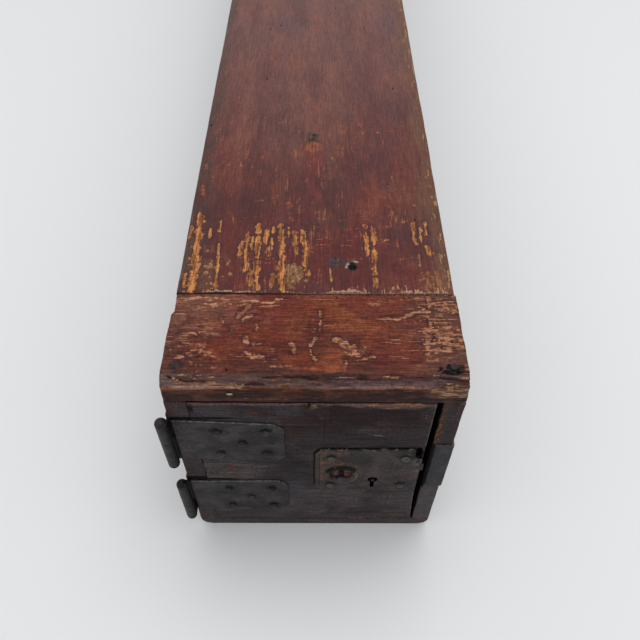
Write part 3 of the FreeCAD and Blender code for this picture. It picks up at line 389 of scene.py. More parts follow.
# %% Measure distances to a worn block
def worn_block(low, high, radius):
    """The distance to a box whose edges are rounded by a radius that may differ at each point."""
    middle = (low + high) / 2
    half = (high - low) / 2

    def distance(points):
        inner = np.abs(points - middle) - (half - radius[:, None])
        outside = np.linalg.norm(np.maximum(inner, 0), axis=1)
        return outside + np.minimum(inner.max(axis=1), 0) - radius

    return distance


def meet(first, second, radius):
    """The distance to what two solids share, with their common edge rounded."""
    beyond = np.hypot(np.maximum(first + radius, 0), np.maximum(second + radius, 0))
    return beyond + np.minimum(np.maximum(first, second) + radius, 0) - radius


def slope(points, distance, step=0.05):
    """The direction in which a distance grows fastest."""
    rise = np.stack([distance(points + step * axis) - distance(points - step * axis) for axis in np.eye(3)],
                    axis=1)
    return rise / np.maximum(np.linalg.norm(rise, axis=1, keepdims=True), 1e-9)


def ruled(*stops):
    """Places along a line, from (place, spacing) pairs and a last place."""
    places = []
    for (start, spacing), (end, _) in zip(stops, [*stops[1:-1], (stops[-1], 0)]):
        count = max(1, round(abs(end - start) / spacing))
        places.extend(start + (end - start) * np.arange(count) / count)
    return np.array([*places, stops[-1]])


# %% Keep a piece's dents and painted marks
def adopt(name, mesh, material, body, *nodes, slot):
    """Put a finished mesh in the scene, on its body, in place of its solids."""
    mesh.materials.clear()
    mesh.materials.append(material)
    made = bpy.data.objects.new(name, mesh)
    bpy.context.scene.collection.objects.link(made)
    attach(made, body)
    if nodes:
        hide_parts(*nodes)
    print(f"{name}: {len(mesh.vertices)} points")
    return made


class Worn:
    """Points with the way they face, how deep each is dented, and the colour painted on it."""

    def __init__(self, points, faces, normals=None):
        self.points, self.faces, self.normals = points, faces, normals
        self.dent = np.zeros(len(points))
        self.layers = {name: (np.zeros((len(points), 3)), np.zeros(len(points)))
                       for name in ("wash", "mark")}

    def lay(self, name, mask, colour):
        """Lay a colour over what is in a layer, as thickly as the mask says."""
        tint, share = self.layers[name]
        mask = np.clip(mask, 0, 1)
        left = share * (1 - mask)
        total = np.maximum(left + mask, 1e-6)
        tint = (tint * left[:, None] + np.array(colour) * mask[:, None]) / total[:, None]
        self.layers[name] = tint, left + mask if name == "wash" else np.maximum(share, mask)

    def wash(self, mask, colour):
        self.lay("wash", mask, colour)

    def paint(self, mask, colour):
        self.lay("mark", mask, colour)

    def mottled(self, size, seed, low, high, octaves=3):
        """A mask in lumps of a size: 0 where their noise is below low, and 1 where it is above high."""
        return ramp(noise(self.points, size, seed, octaves), low, high)

    def mesh(self, name):
        """The dented points as a mesh that carries its painted marks."""
        mesh = bpy.data.meshes.new(name)
        placed = (self.points - self.normals * self.dent[:, None]) * MM
        mesh.from_pydata(placed.tolist(), [], self.faces)
        for layer, (tint, share) in self.layers.items():
            mesh.attributes.new(f"{layer}_share", "FLOAT", "POINT").data.foreach_set("value", share)
            colours = np.column_stack([tint, np.ones(len(tint))]).ravel()
            mesh.attributes.new(f"{layer}_tint", "FLOAT_COLOR", "POINT").data.foreach_set("color", colours)
        mesh.polygons.foreach_set("use_smooth", [True] * len(mesh.polygons))
        return mesh

    def piece(self, name, material, body, *nodes, slot):
        """The finished piece, which stands for its solids."""
        return adopt(name, self.mesh(name), material, body, *nodes, slot=slot)


# %% Build a board
# Painted shade for the inside of bored holes.
HOLE_SHADE = (0.012, 0.009, 0.008)


def pulled_in(places, line, inset):
    """Places along a line, drawn towards its middle until its ends have moved in by the inset."""
    middle = (line[0] + line[-1]) / 2
    return middle + (places - middle) * (1 - inset / (line[-1] - middle))


class Board(Worn):
    """A board: a grid on its best face, rings of points back round its edges, and rings on its back.

    The rings on the back lie a few millimetres in from the edges, because the flat that is left
    is one large face, and paint on its corners would spread all over it.
    """

    AXES = {"x": (1, 2), "y": (0, 2), "z": (0, 1)}

    def __init__(self, facing, outward, across, along, deep, insets=()):
        self.deep_axis, self.outward = "xyz".index(facing), outward
        self.across_axis, self.along_axis = self.AXES[facing]
        self.across, self.along = across, along
        rows, columns = len(along), len(across)
        u, v = np.meshgrid(across, along)
        self.grid = np.arange(rows * columns).reshape(rows, columns)
        rim = np.concatenate([self.grid[0, :-1], self.grid[:-1, -1],
                              self.grid[-1, :0:-1], self.grid[:0:-1, 0]])
        face = self._lay(u.ravel(), v.ravel(), deep[0])
        rings = [self._lay(u.ravel()[rim], v.ravel()[rim], level) for level in deep[1:]]
        for inset in insets:
            rings.append(self._lay(pulled_in(u.ravel()[rim], across, inset),
                                   pulled_in(v.ravel()[rim], along, inset), deep[-1]))
        loops = [rim, *(len(face) + np.arange(len(rim)) + step * len(rim) for step in range(len(rings)))]
        quads = [np.stack([self.grid[:-1, :-1], self.grid[:-1, 1:], self.grid[1:, 1:], self.grid[1:, :-1]],
                          axis=-1).reshape(-1, 4)]
        for near, far in zip(loops, loops[1:]):
            quads.append(np.stack([near, far, np.roll(far, -1), np.roll(near, -1)], axis=-1))
        faces = [*np.concatenate(quads).tolist(), loops[-1][::-1].tolist()]
        if (facing == "y") == (outward > 0):
            faces = [quad[::-1] for quad in faces]
        super().__init__(np.concatenate([face, *rings]), faces)

    def _lay(self, u, v, level):
        laid = np.empty((len(u), 3))
        laid[:, self.across_axis] = u
        laid[:, self.along_axis] = v
        laid[:, self.deep_axis] = level
        return laid

    def settle(self, distance, rounds=4):
        """Move every point onto the worn shape and note which way it faces there."""
        for _ in range(rounds):
            self.points -= distance(self.points)[:, None] * slope(self.points, distance)
        self.normals = slope(self.points, distance)
        self.spots = self.points[:, [self.across_axis, self.along_axis]]
        self.flat = in_plane(self.spots)
        self.best = ramp(self.normals[:, self.deep_axis] * self.outward, 0.0, 0.4)
        self.arris = 1 - np.abs(self.normals).max(axis=1)

    def speckled(self, size, seed, low, high, octaves=3):
        """A mask like mottled, but looked up on the flat of the board, so it runs on down the edges."""
        return ramp(noise(self.flat, (*size, 1), seed, octaves), low, high)

    def bore(self, u, v, radius, depth):
        """Press a round hole into the grid: the nearest ring of points becomes its rim, and the points inside
        it are painted dark, as painted shade in the hole.
        """
        column = int(np.clip(np.abs(self.across - u).argmin(), 2, len(self.across) - 3))
        row = int(np.clip(np.abs(self.along - v).argmin(), 2, len(self.along) - 3))
        wide = max(1, round(radius / (self.across[column + 1] - self.across[column])))
        tall = max(1, round(radius / (self.along[row + 1] - self.along[row])))
        if not (wide <= column < len(self.across) - wide and tall <= row < len(self.along) - tall):
            return
        for down in range(-tall, tall + 1):
            for aside in range(-wide, wide + 1):
                point = self.grid[row + down, column + aside]
                x, y = aside / wide, down / tall
                ring = max(abs(x), abs(y))
                turn = math.atan2(y, x)
                self.points[point, self.across_axis] = u + radius * ring * math.cos(turn)
                self.points[point, self.along_axis] = v + radius * ring * math.sin(turn)
                if ring < 1:
                    self.dent[point] += depth * (1 - ring**3)
                    self.layers["mark"][0][point] = HOLE_SHADE
                    self.layers["mark"][1][point] = 1


# %% [markdown]
# ## Marks
# A scrape, a crack or an insect's track is a path with a width. Each point of a board looks up its
# distance to the path, and a little noise makes the edge ragged.

# %% Draw marks along paths
def distance_to(spots, path):
    """How far each spot lies from a path of straight runs."""
    nearest = np.full(len(spots), np.inf)
    for start, end in zip(path, path[1:]):
        start, run = np.array(start, dtype=float), np.subtract(end, start)
        share = np.clip(((spots - start) @ run) / (run @ run), 0, 1)
        nearest = np.minimum(nearest, np.linalg.norm(spots - start - share[:, None] * run, axis=1))
    return nearest


def stroke(spots, path, width, ragged=0.5, soft=0.5, seed=0):
    """1 on a path of this width and 0 off it, with a ragged edge."""
    near = distance_to(spots, path)
    close = near < width + 4
    mask = np.zeros(len(spots))
    wobble = noise(in_plane(spots[close]), 3.5, seed, 2) * ragged
    mask[close] = ramp(width / 2 + wobble * width / 2 - near[close], -soft, soft)
    return mask


def blot(spots, middle, wide, tall, ragged=0.35, seed=0, lump=8):
    """1 inside a ragged oval."""
    off = (spots - np.array(middle)) / (wide / 2, tall / 2)
    lumps = noise(in_plane(spots), lump, seed, 3) * ragged
    return ramp(1 - np.linalg.norm(off, axis=1) + lumps, -0.12, 0.12)


def from_front(*path):
    """A path on the lid: across from the middle, and back from the front of the side boards."""
    return [(across, FRONT + back) for across, back in path]


def patch(board, place, *oval):
    """A blot on a board, whose place is given across and back from the front."""
    return blot(board.spots, from_front(place)[0], *oval)


# %% [markdown]
# ## The lid board
# The longest surface of the chest. Its lacquer is whole but tired: bare ochre streaks where it was
# scraped near the cap, a knot, a knot hole with a pale rim, a crust of old paste, worm holes.

# %% Lay out the lid board
OCHRE = (0.43, 0.175, 0.052)
TAN = (0.34, 0.155, 0.088)
OLIVE = (0.118, 0.050, 0.028)
# The near-black below stands for soot and dark joints, and also for painted shade in gaps and beside raised
# irons.
SOOT_AND_SHADE = (0.012, 0.009, 0.009)
RUST_ORANGE = (0.215, 0.066, 0.032)
PURPLE = (0.050, 0.016, 0.019)

lid_low, lid_high = reach("top_board")
lid_low[1], lid_high[1] = CAP_JOINT, -CAP_JOINT
lid = Board("z", 1,
            ruled((lid_low[0], 0.6), (lid_low[0] + 3, 1.0), (lid_high[0] - 3, 0.6), lid_high[0]),
            ruled((CAP_JOINT, 0.7), (CAP_JOINT + 6, 1.0), (FRONT + 190, 2.0), (FRONT + 330, 5.0),
                  (FRONT + 650, 13.0), (lid_high[1] - 6, 1.5), lid_high[1]),
            ruled((ROOF, 0.8), (ROOF - 4, 3.0), (lid_low[2] + 3, 1.0), lid_low[2]))
lid_edge = 1.6 + np.clip(noise(lid.points, (60, 45, 60), 3), -0.8, 1) * 1.2


def lid_shape(points):
    sides = np.abs(points[:, 0]) - lid_high[0]
    ends = np.abs(points[:, 1]) - lid_high[1]
    thick = meet(points[:, 2] - ROOF, lid_low[2] - points[:, 2], 1.0)
    return meet(meet(thick, sides, lid_edge), ends, 0.5)


lid.settle(lid_shape)
lid.dent += np.clip(noise(lid.points, (90, 200, 90), 4), -1, 1) * 0.25 + 0.2
lid.dent += ramp(lid.arris, 0.02, 0.2) * lid.mottled((9, 14, 9), 5, 0.1, 0.8) * 0.8

# %% List the lid's scrapes
SCRAPES = [
    (6.5, (-108, 187), (-106.5, 158), (-106.7, 139), (-105.6, 116), (-105, 92)),
    (2.4, (-113.8, 173), (-114.4, 158)), (3.0, (-112.5, 112), (-112, 98)),
    (3.0, (-88.6, 181), (-88.5, 168)), (2.6, (-87, 150), (-86.6, 134), (-85.4, 113), (-85.3, 96)),
    (2.4, (-97, 170), (-96.5, 157)),
    (3.4, (-67, 152), (-67.6, 136)), (3.6, (-61.5, 166), (-62.4, 138), (-60, 118)),
    (2.4, (-57.4, 160), (-57.6, 143)),
    (4.4, (-53.2, 177), (-51.8, 146), (-51, 111), (-49.6, 96)), (3.0, (-56.5, 120), (-55.4, 101)),
    (1.4, (-63.2, 122), (-63, 113)),
    (5.0, (-32.4, 176), (-30, 146), (-30.7, 122), (-27.5, 94)),
    (3.2, (-44.6, 168), (-45.4, 152)), (3.0, (-39.6, 158), (-41, 136)), (2.6, (-38.4, 172), (-38.8, 166)),
    (4.0, (-36, 112), (-38.6, 95)), (2.6, (-24.4, 172), (-24, 160)),
    (3.2, (-18.8, 168), (-18.3, 150), (-16.8, 138)),
    (4.2, (-11.6, 167), (-10.2, 150), (-8.7, 139), (-8.9, 125), (-6.7, 113)),
    (2.6, (45.6, 178), (46.4, 154), (46, 136)),
    (3.4, (52.6, 174), (53.2, 154), (51.8, 123), (52, 96)),
    (1.3, (60, 154.2), (66, 157)),
    (3.0, (90.6, 180), (90.4, 158), (91, 150)), (1.6, (91.6, 138), (91.4, 124)),
    (2.4, (96.2, 172), (96, 155)), (2.8, (101.6, 181), (101, 163)), (6.0, (101.4, 146), (102, 141)),
    (1.6, (12.6, 120), (13.8, 100), (15, 94)),
]
FAR_SCRATCHES = [
    (2.0, (37, 386), (41, 363)), (1.6, (8, 398), (9, 381)), (2.4, (-53, 500), (-49.5, 456)),
    (2.4, (112, 335), (114, 320)), (1.6, (-73, 185), (-60, 187), (-47, 189), (-37, 193)),
    (1.6, (-1, 150), (32, 149)), (1.6, (7.5, 159), (27, 162.6)), (1.2, (9, 130), (47, 132.5)),
    (1.8, (66, 216), (80, 210.5)), (2.2, (70, 209), (69.4, 175)), (1.2, (-8, 173), (6, 174)),
    (1.2, (71, 131), (88, 134.5)), (2.0, (93, 206), (97, 201)), (3.6, (-34.7, 128), (-34.2, 118)),
    (1.3, (-57, 204), (-48, 202.6), (-43.7, 209)), (1.3, (-18, 212), (-11, 200)),
    (2.4, (-81, 195), (-74, 172)),
    (3.0, (-111, 232), (-109, 216)), (1.4, (40, 168), (46, 158)), (1.3, (74, 158), (74, 148)),
    (2.2, (-20, 330), (-17, 318)), (3.0, (22, 345), (30, 322)), (2.6, (47, 342), (50, 318)),
    (2.2, (60, 322), (88, 328)), (2.6, (90, 336), (104, 330)), (2.0, (30, 300), (22, 280)),
    (2.4, (8, 372), (17, 366)), (3.0, (-83, 420), (-76, 412)),
]
print("scrapes on the lid:", len(SCRAPES) + len(FAR_SCRATCHES))


# %% Lay scrapes on a board
def scrape(board, marks, colour, depth=0.0, seed=0, ragged=0.6, soft=0.9, strength=0.8, fibre=None,
           shadow=None):
    """Lay (width, point, point, ...) marks on the best face of a board.

    A fibre size, across and along in millimetres, breaks a mark up. A shadow is the colour of the
    painted shade laid round it.
    """
    torn, grained = 1.0, None
    if fibre:
        torn = 0.7 + 0.3 * board.speckled(fibre, seed + 60, -0.5, 0.0, 2)
        grained = board.speckled(fibre, seed + 61, 0.15, 0.45, 2)
    for number, (width, *path) in enumerate(marks):
        mask = stroke(board.spots, path, width, ragged, soft, seed + number) * board.best
        if shadow:
            dark_halo = stroke(board.spots, path, width + 4, 0.5, 2.0, seed + number) * board.best
            board.wash(dark_halo * 0.6, shadow)
        board.paint(mask * torn * strength, colour)
        if grained is not None:
            board.paint(mask * grained * strength, np.array(colour) * (0.42, 0.36, 0.42))
        board.dent += mask * depth


def lid_marks(marks):
    """Marks whose paths are given across and back from the front."""
    return [(width, *from_front(*path)) for width, *path in marks]


# %% [markdown]
# Stains go on before marks, because a scrape cuts through lacquer that is already stained. Near the
# edges the lacquer is browner, far from the door it is paler with a painted sheen over it, and the
# grain shows in both.

# %% Stain the lid's lacquer
across, back = lid.spots[:, 0], lid.spots[:, 1] - FRONT
red_bands = lid.speckled((24, 700), 16, 0.1, 0.7, 2) * lid.best
lid.wash(red_bands * 0.4, (0.108, 0.017, 0.014))
lid.wash(lid.speckled((22, 40), 24, 0.1, 0.8, 4) * lid.best * 0.5, PURPLE)
lid.wash(lid.speckled((13, 30), 25, 0.25, 0.9, 4) * lid.best * 0.4, (0.150, 0.038, 0.020))
for oval, strength, colour in ((((-36, 335), 60, 90, 0.8, 26, 30), 0.4, (0.062, 0.024, 0.028)),
                               (((24, 134), 110, 104, 0.7, 31, 18), 0.65, (0.082, 0.008, 0.008)),
                               (((-64, 130), 60, 90, 0.7, 32, 18), 0.5, (0.086, 0.014, 0.012)),
                               (((-112, 128), 17, 90, 0.8, 33, 9), 0.7, (0.100, 0.052, 0.030))):
    lid.wash(patch(lid, *oval) * lid.best * strength, colour)
# Paler lacquer and a painted sheen: the lid grows paler and pinker towards the far end.
lid.wash(ramp(back, 190, 520) * lid.best * 0.68, (0.146, 0.060, 0.050))
for cloudy_place in ((-36, 552), (87, 576)):
    lid.wash(patch(lid, cloudy_place, 34, 60, 0.9, 27, 16) * lid.best * 0.4, (0.075, 0.040, 0.052))
along_grain = noise(lid.flat, (7, 60, 1), 11)
patches = noise(lid.flat, (20, 80, 1), 34, 3)
lid.wash(ramp(patches, 0.1, 0.7) * ramp(back, 180, 320) * lid.best * 0.35, (0.176, 0.064, 0.046))
lid.wash(ramp(-patches, 0.1, 0.7) * lid.best * 0.35, (0.078, 0.020, 0.023))
lid.wash(patch(lid, (86, 150), 56, 130, 0.8, 35, 12) * lid.best * 0.12, (0.175, 0.066, 0.042))
lid.wash(ramp(across + along_grain * 6, 96, 110) * lid.best * 0.8, OLIVE)
left_edge = ramp(-across + noise(lid.flat, (8, 30, 1), 23) * 7, 103, 113) * lid.best
lid.wash(left_edge * 0.6, (0.055, 0.030, 0.022))
print(f"stained points of the lid: {(lid.layers['wash'][1] > 0.5).sum()}")

# %% Fleck and scrape the lid
dusty = noise(lid.flat, (4, 26, 1), 28, 3) + 0.6 * noise(lid.flat, (60, 90, 1), 29)
dusty = ramp(dusty, 0.55, 1.1) * lid.best
lid.paint(dusty * 0.38, (0.18, 0.066, 0.040))
mottled = patch(lid, (-95, 112), 26, 46, 0.7, 12, 7) * lid.best
lid.wash(mottled * 0.6, (0.120, 0.050, 0.026))
lid.paint(mottled * 0.8 * lid.speckled((2.6, 4), 13, 0.0, 0.4, 2), (0.32, 0.150, 0.066))
mottled = patch(lid, (102, 104), 26, 26, 0.7, 14, 6) * lid.best
lid.paint(mottled * 0.55 * lid.speckled((3, 8), 15, -0.3, 0.5), (0.19, 0.080, 0.036))
fine = noise(lid.flat, (1.6, 12, 1), 17, 2) + 0.5 * noise(lid.flat, (40, 50, 1), 18)
fine = ramp(fine, 0.7, 1.2) * lid.best
lid.paint(fine * 0.55 * fade(back, 260, 420), (0.24, 0.085, 0.035))
skewed = in_plane(np.column_stack([across + back * 0.3, back - across * 0.12]))
cross = noise(skewed, (13, 2.2, 1), 19, 3) + 0.6 * noise(lid.flat, (50, 30, 1), 21)
cross = ramp(cross, 0.85, 1.2) * lid.best
lid.paint(cross * 0.48 * fade(np.abs(back - 165), 40, 70), (0.20, 0.058, 0.028))
rising = lid.speckled((1.8, 8), 22, 0.3, 0.65, 2) * fade(back - 92, 5, 12) * lid.best
lid.paint(rising * ramp(across, 15, 30) * 0.7, (0.36, 0.19, 0.12))
edge_flecks = lid.speckled((2.0, 9), 30, 0.2, 0.6, 2) * ramp(across, 104, 113) * lid.best
lid.paint(edge_flecks * 0.6, (0.26, 0.15, 0.07))
scrape(lid, lid_marks(FAR_SCRATCHES), RUST_ORANGE, 0.1, 50, strength=0.68, fibre=(3, 4))
scrape(lid, lid_marks(SCRAPES), OCHRE, 0.25, 20, ragged=0.75, strength=0.95, fibre=(1.3, 13), shadow=PURPLE)

# %% Add the crust, the knot and the knot hole
crust = patch(lid, (-18, 112), 18, 30, 0.45, 60, 7) * lid.best
lid.paint(crust * (0.5 + 0.5 * lid.speckled((2.6, 2.6), 67, -0.5, 0.2)), (0.185, 0.092, 0.042))
lid.paint(crust * lid.speckled((3.2, 3.2), 68, 0.25, 0.5) * 0.7, (0.30, 0.18, 0.09))
lid.dent -= crust * (0.5 + 0.5 * noise(lid.flat, 3, 61))
knot = patch(lid, (-3, 312), 12, 20, 0.5, 62, 4) * lid.best
lid.wash(knot * 0.8, (0.040, 0.027, 0.022))
lid.paint(knot * lid.speckled((3, 3), 58, -0.2, 0.3) * 0.7, (0.022, 0.015, 0.013))
lid.paint(patch(lid, (-5, 296), 15, 20, 0.6, 63, 5) * lid.best * 0.55, RUST_ORANGE)
lid.wash(patch(lid, (-4, 262), 20, 60, 0.6, 69, 14) * lid.best * 0.6, (0.135, 0.018, 0.016))
for smear, wide, tall in (((14.5, 130), 10, 9), ((22, 126.5), 12, 9)):
    smear = patch(lid, smear, wide, tall, 0.7, 64, 4) * lid.best
    lid.wash(smear * 0.85, (0.034, 0.029, 0.032))
    lid.paint(smear * lid.speckled((2.2, 2.2), 57, -0.1, 0.4) * 0.7, (0.022, 0.020, 0.022))
hole = from_front((32.5, 122))[0]
ring = distance_to(lid.spots, from_front((26.9, 121), (28, 125.4), (32, 128.6), (37, 128)))
lid.wash(fade(ring, 0.5, 1.3) * lid.best, (0.33, 0.25, 0.175))
# Painted shade: the knot hole and a little round it are painted near black.
knot_hole_shade = blot(lid.spots, hole, 9.6, 12.5, 0.12, 65, 4) * lid.best
lid.wash(knot_hole_shade, (0.010, 0.010, 0.011))
lid.paint(knot_hole_shade * 0.55, (0.010, 0.010, 0.011))
lid.bore(*hole, 3.8, 3.5)

# %% Drill the worm holes and fray the joint
WORM_HOLES = [(-2, 523), (-58, 431), (-47, 560), (25, 611), (29.5, 613), (54.5, 617), (61.6, 556),
              (-12.7, 558), (-60, 549), (-113.6, 334), (70, 236), (-74, 268), (88, 410), (93, 184)]
# Each worm hole is painted dark, as painted shade in the hole.
for number, place in enumerate(WORM_HOLES):
    spot = patch(lid, place, 2.6, 4.0, 0.2, 70 + number, 3) * lid.best
    lid.paint(spot * 0.8, (0.025, 0.012, 0.012))
    lid.dent += spot * 0.8
joint_noise = noise(lid.flat, (16, 5, 1), 66) + 0.6 * noise(lid.flat, (3, 5, 1), 59)
lid.paint(ramp(93.2 - back + joint_noise * 2.8, 0, 1.2) * lid.best * 0.75, (0.35, 0.21, 0.155))
joint_gap = ramp(92.0 - back + joint_noise * 0.6, 0, 0.5) * lid.best
lid.paint(joint_gap * (1 - 0.5 * ramp(across, -40, 10)), SOOT_AND_SHADE)
lid.piece("lid_board", lid_lacquer, "chest", "top_board", slot="red_lacquered_wood")

# %% [markdown]
# ## The caps
# A cap lies across each end of the lid board and hides its end grain. Hands have worn its upper
# front edge to a slope that ends in a ridge, rubbed pale and painted with a highlight. Insects ate
# the cap over the door: their tracks are open grooves.

# %% Shape a cap
BEVEL = math.radians(27)
RIDGE_DROP = 5.8
TOP_ROUND, NOSE_ROUND, FOOT_ROUND, JOINT_ROUND = 2.6, 2.0, 3.0, 0.7


def cap_shape(low, high, radius, way, chipped=0, waver=0):
    """The distance to a cap whose nose points one way along the chest, -1 or 1."""
    nose, joint = max(abs(low[1]), abs(high[1])), min(abs(low[1]), abs(high[1]))

    def distance(points):
        ahead, height = points[:, 1] * way - nose, points[:, 2] - high[2]
        worn_slope = ahead * math.sin(BEVEL) + (height + RIDGE_DROP + waver) * math.cos(BEVEL)
        rounded = meet(height, worn_slope, TOP_ROUND)
        rounded = meet(rounded, ahead, NOSE_ROUND)
        rounded = meet(rounded, low[2] - points[:, 2], FOOT_ROUND)
        rounded = meet(rounded, np.abs(points[:, 0]) - high[0] + chipped, radius)
        return meet(rounded, joint - points[:, 1] * way, JOINT_ROUND)

    return distance


# %% Lay out the cap over the door
cap = Board("z", 1,
            ruled((cap_low[0], 0.65), cap_high[0]),
            ruled((cap_low[1], 0.65), cap_high[1]),
            ruled((cap_high[2], 1.0), cap_low[2]))
behind_door = cap.points[:, 1] - FRONT
chipped = 1.9 * ramp(behind_door, 68, 72) * (cap.points[:, 0] < 0)
edge_noise = noise(cap.points, (30, 12, 20), 80)
waver = noise(cap.points * (1, 0, 0), 55, 86) * 0.7
cap.settle(cap_shape(cap_low, cap_high, 2.2 + np.clip(edge_noise, -0.8, 1.2) * 1.6, -1, chipped, waver))
cap.dent += np.clip(noise(cap.points, (120, 40, 40), 81), -1, 1) * 0.3 + 0.25
cap.dent += ramp(cap.arris, 0.02, 0.2) * cap.mottled((10, 8, 8), 82, 0.15, 0.8) * 0.7

# %% List the insects' tracks
STRIP = [
    (5.0, (-116, 82.4), (-108.6, 83.5)), (2.6, (-108.6, 84), (-98.6, 85.7), (-83, 85.6), (-72.7, 83.6)),
    (3.4, (-55.5, 82.5), (-47, 80.9)), (2.6, (-47, 80.9), (-35.8, 80.4), (-32.6, 83.8), (-25.8, 85.6)),
]
TRACKS = [
    (1.4, (-77.2, 66), (-76.3, 62), (-74.6, 58.7)),
    (4.0, (-54, 79), (-57, 73), (-61, 68.4)), (3.0, (-62, 66), (-64.2, 63.6)),
    (3.4, (-58.6, 61.5), (-55, 65.2), (-50.4, 66.6)), (2.8, (-47.8, 60), (-47.6, 56), (-47, 51.5)),
    (3.4, (-55, 43.4), (-54.4, 38.8)), (2.4, (-48.6, 36.6), (-42.6, 37.6)),
    (4.2, (-54.2, 28.3), (-49.2, 25.3), (-41.9, 23.4)), (1.6, (-36.3, 22.9), (-30, 22.7)),
    (1.8, (-107.9, 47.4), (-98, 47.5), (-95, 45.3)),
    (2.6, (-87, 38), (-87.6, 34.2), (-90.4, 29)), (2.4, (-93.6, 25.4), (-101.7, 25.6), (-108.6, 23.6)),
    (1.2, (-67, 51.8), (-68.7, 47.6)), (2.4, (-19.3, 37.5), (-16, 34.5), (-16.2, 28.5)),
    (1.8, (4.1, 72), (4.5, 63), (4.1, 55.4), (3.7, 48)),
    (2.6, (0.6, 43), (-3.4, 37), (-3.7, 30.5), (0.6, 21.4)),
    (3.6, (15.5, 41.8), (22.7, 37.7)), (5.6, (22.7, 37), (29.9, 34.2), (32, 30)),
    (2.2, (33, 21.6), (47, 24.4)), (2.2, (24.4, 22), (24.2, 16.8)),
    (2.6, (55.9, 63.7), (68.4, 63.7), (76, 66)), (3.6, (76, 66), (85, 71), (90, 73)),
    (3.6, (94.4, 91), (96, 86.8), (96, 78.8), (93.6, 72)), (2.8, (93.2, 64), (93.8, 58), (93.5, 50)),
    (2.0, (98, 58.6), (104.8, 60.1), (108, 56.4)), (2.0, (97.6, 78.3), (107, 79), (114.9, 80.6)),
    (4.6, (99, 46.3), (110, 46.4)), (3.2, (87, 37), (98, 39), (104, 37.5), (117, 37.1)),
    (3.0, (87, 28), (92, 31), (100, 32), (107, 31)), (1.6, (52.4, 6.9), (65.6, 7)),
    (1.6, (109.7, 73.3), (116.4, 72.8)), (1.4, (110, 43.3), (118, 43.3)),
]
EATEN = [((-86, 76), 26, 12), ((-60, 80), 17, 7), ((31, 31), 16, 10), ((104, 52), 26, 8),
         ((106, 41), 26, 9), ((99, 32), 24, 6)]
print("tracks:", len(STRIP) + len(TRACKS), "eaten patches:", len(EATEN))

# %% Stain the cap
across, back = cap.spots[:, 0], cap.spots[:, 1] - FRONT
cap.wash(cap.speckled((40, 16), 84, -0.1, 0.7, 4) * cap.best * 0.5, (0.150, 0.034, 0.014))
cap.wash(patch(cap, (34, 50), 100, 90, 0.8, 88, 26) * cap.best * 0.25, (0.175, 0.050, 0.018))
for middle_and_size in (((-40, 66), 90, 44), ((58, 72), 56, 30), ((76, 36), 50, 34), ((-84, 50), 40, 22)):
    crimson = patch(cap, *middle_and_size, 0.9, 76, 14) * cap.best
    cap.wash(crimson * 0.5, (0.110, 0.022, 0.018))
cap.wash(cap.speckled((28, 9), 89, 0.1, 0.7, 4) * cap.best * 0.5, (0.055, 0.014, 0.014))
left_side = ramp(-across + noise(cap.flat, (16, 9, 1), 87) * 16, 70, 108) * cap.best
cap.wash(left_side * 0.55, (0.082, 0.042, 0.033))
right_side = ramp(across + noise(cap.flat, (16, 9, 1), 85) * 14, 60, 106) * cap.best
cap.wash(right_side * 0.6, (0.098, 0.054, 0.040))
grime = ramp(noise(cap.flat, (40, 10, 1), 83) * 9 + 22 - back, 0, 14) * cap.best
cap.wash(grime * 0.65, (0.050, 0.021, 0.018))
cap.wash(grime * cap.speckled((22, 7), 78, 0.0, 0.6, 3) * 0.6, (0.022, 0.012, 0.013))

# %% Streak the cap and cut its tracks
lines = noise(cap.flat, (13, 1.3, 1), 86, 2) + 0.5 * noise(cap.flat, (30, 14, 1), 79)
lines += 0.2 * ramp(np.abs(across), 50, 100)
cap.wash(patch(cap, (-84, 72), 66, 36, 0.9, 102, 8) * cap.best * 0.35, (0.210, 0.088, 0.062))
cap.paint(ramp(lines, 0.55, 0.95) * cap.best * 0.55, (0.25, 0.11, 0.062))
cap.paint(ramp(-lines, 0.5, 0.9) * cap.best * 0.35, (0.040, 0.014, 0.012))
scrape(cap, lid_marks(TRACKS), TAN, 0.4, 90, ragged=0.8, strength=0.85, fibre=(4, 1.6), shadow=PURPLE)
scrape(cap, lid_marks(STRIP), (0.37, 0.18, 0.115), 0.3, 140, ragged=0.7, strength=0.85, fibre=(8, 1.8))
for number, middle_and_size in enumerate(EATEN):
    eaten = patch(cap, *middle_and_size, 0.6, 180 + number, 5) * cap.best
    cap.wash(eaten * 0.5, (0.12, 0.055, 0.032))
    cap.paint(eaten * cap.speckled((3.4, 1.8), 184 + number, -0.1, 0.4, 2) * 0.8, TAN)
    cap.dent += eaten * 0.25

# %% Scatter flecks and drill worm holes
flecks = noise(cap.flat, (6, 1.5, 1), 120, 2) + 0.6 * noise(cap.flat, (30, 20, 1), 121)
flecks = ramp(flecks, 0.65, 1.1) * cap.best
flecks *= 0.4 + 0.6 * ramp(np.abs(across), 40, 95)
cap.paint(flecks * 0.6, (0.28, 0.125, 0.07))
cap.dent += flecks * 0.15
for hole_across, hole_back in [(-68, 12.2), (-25.8, 85.6), (18, 86), (109, 40), (100, 34), (93, 41)]:
    cap.bore(hole_across, FRONT + hole_back, 1.1, 2.5)
cap.paint(ramp(back - 90.7, 0, 0.4) * cap.best * (1 - 0.6 * ramp(across, -40, 10)), SOOT_AND_SHADE)
frayed = ramp(back - 89.2 + noise(cap.flat, (14, 4, 1), 129) * 1.5, 0, 1) * ramp(across, -20, 30) * cap.best
cap.paint(frayed * 0.5, (0.33, 0.19, 0.135))
cap.wash(patch(cap, (13, 12.5), 24, 7, 0.6, 115, 5) * cap.best * 0.7, (0.215, 0.062, 0.022))
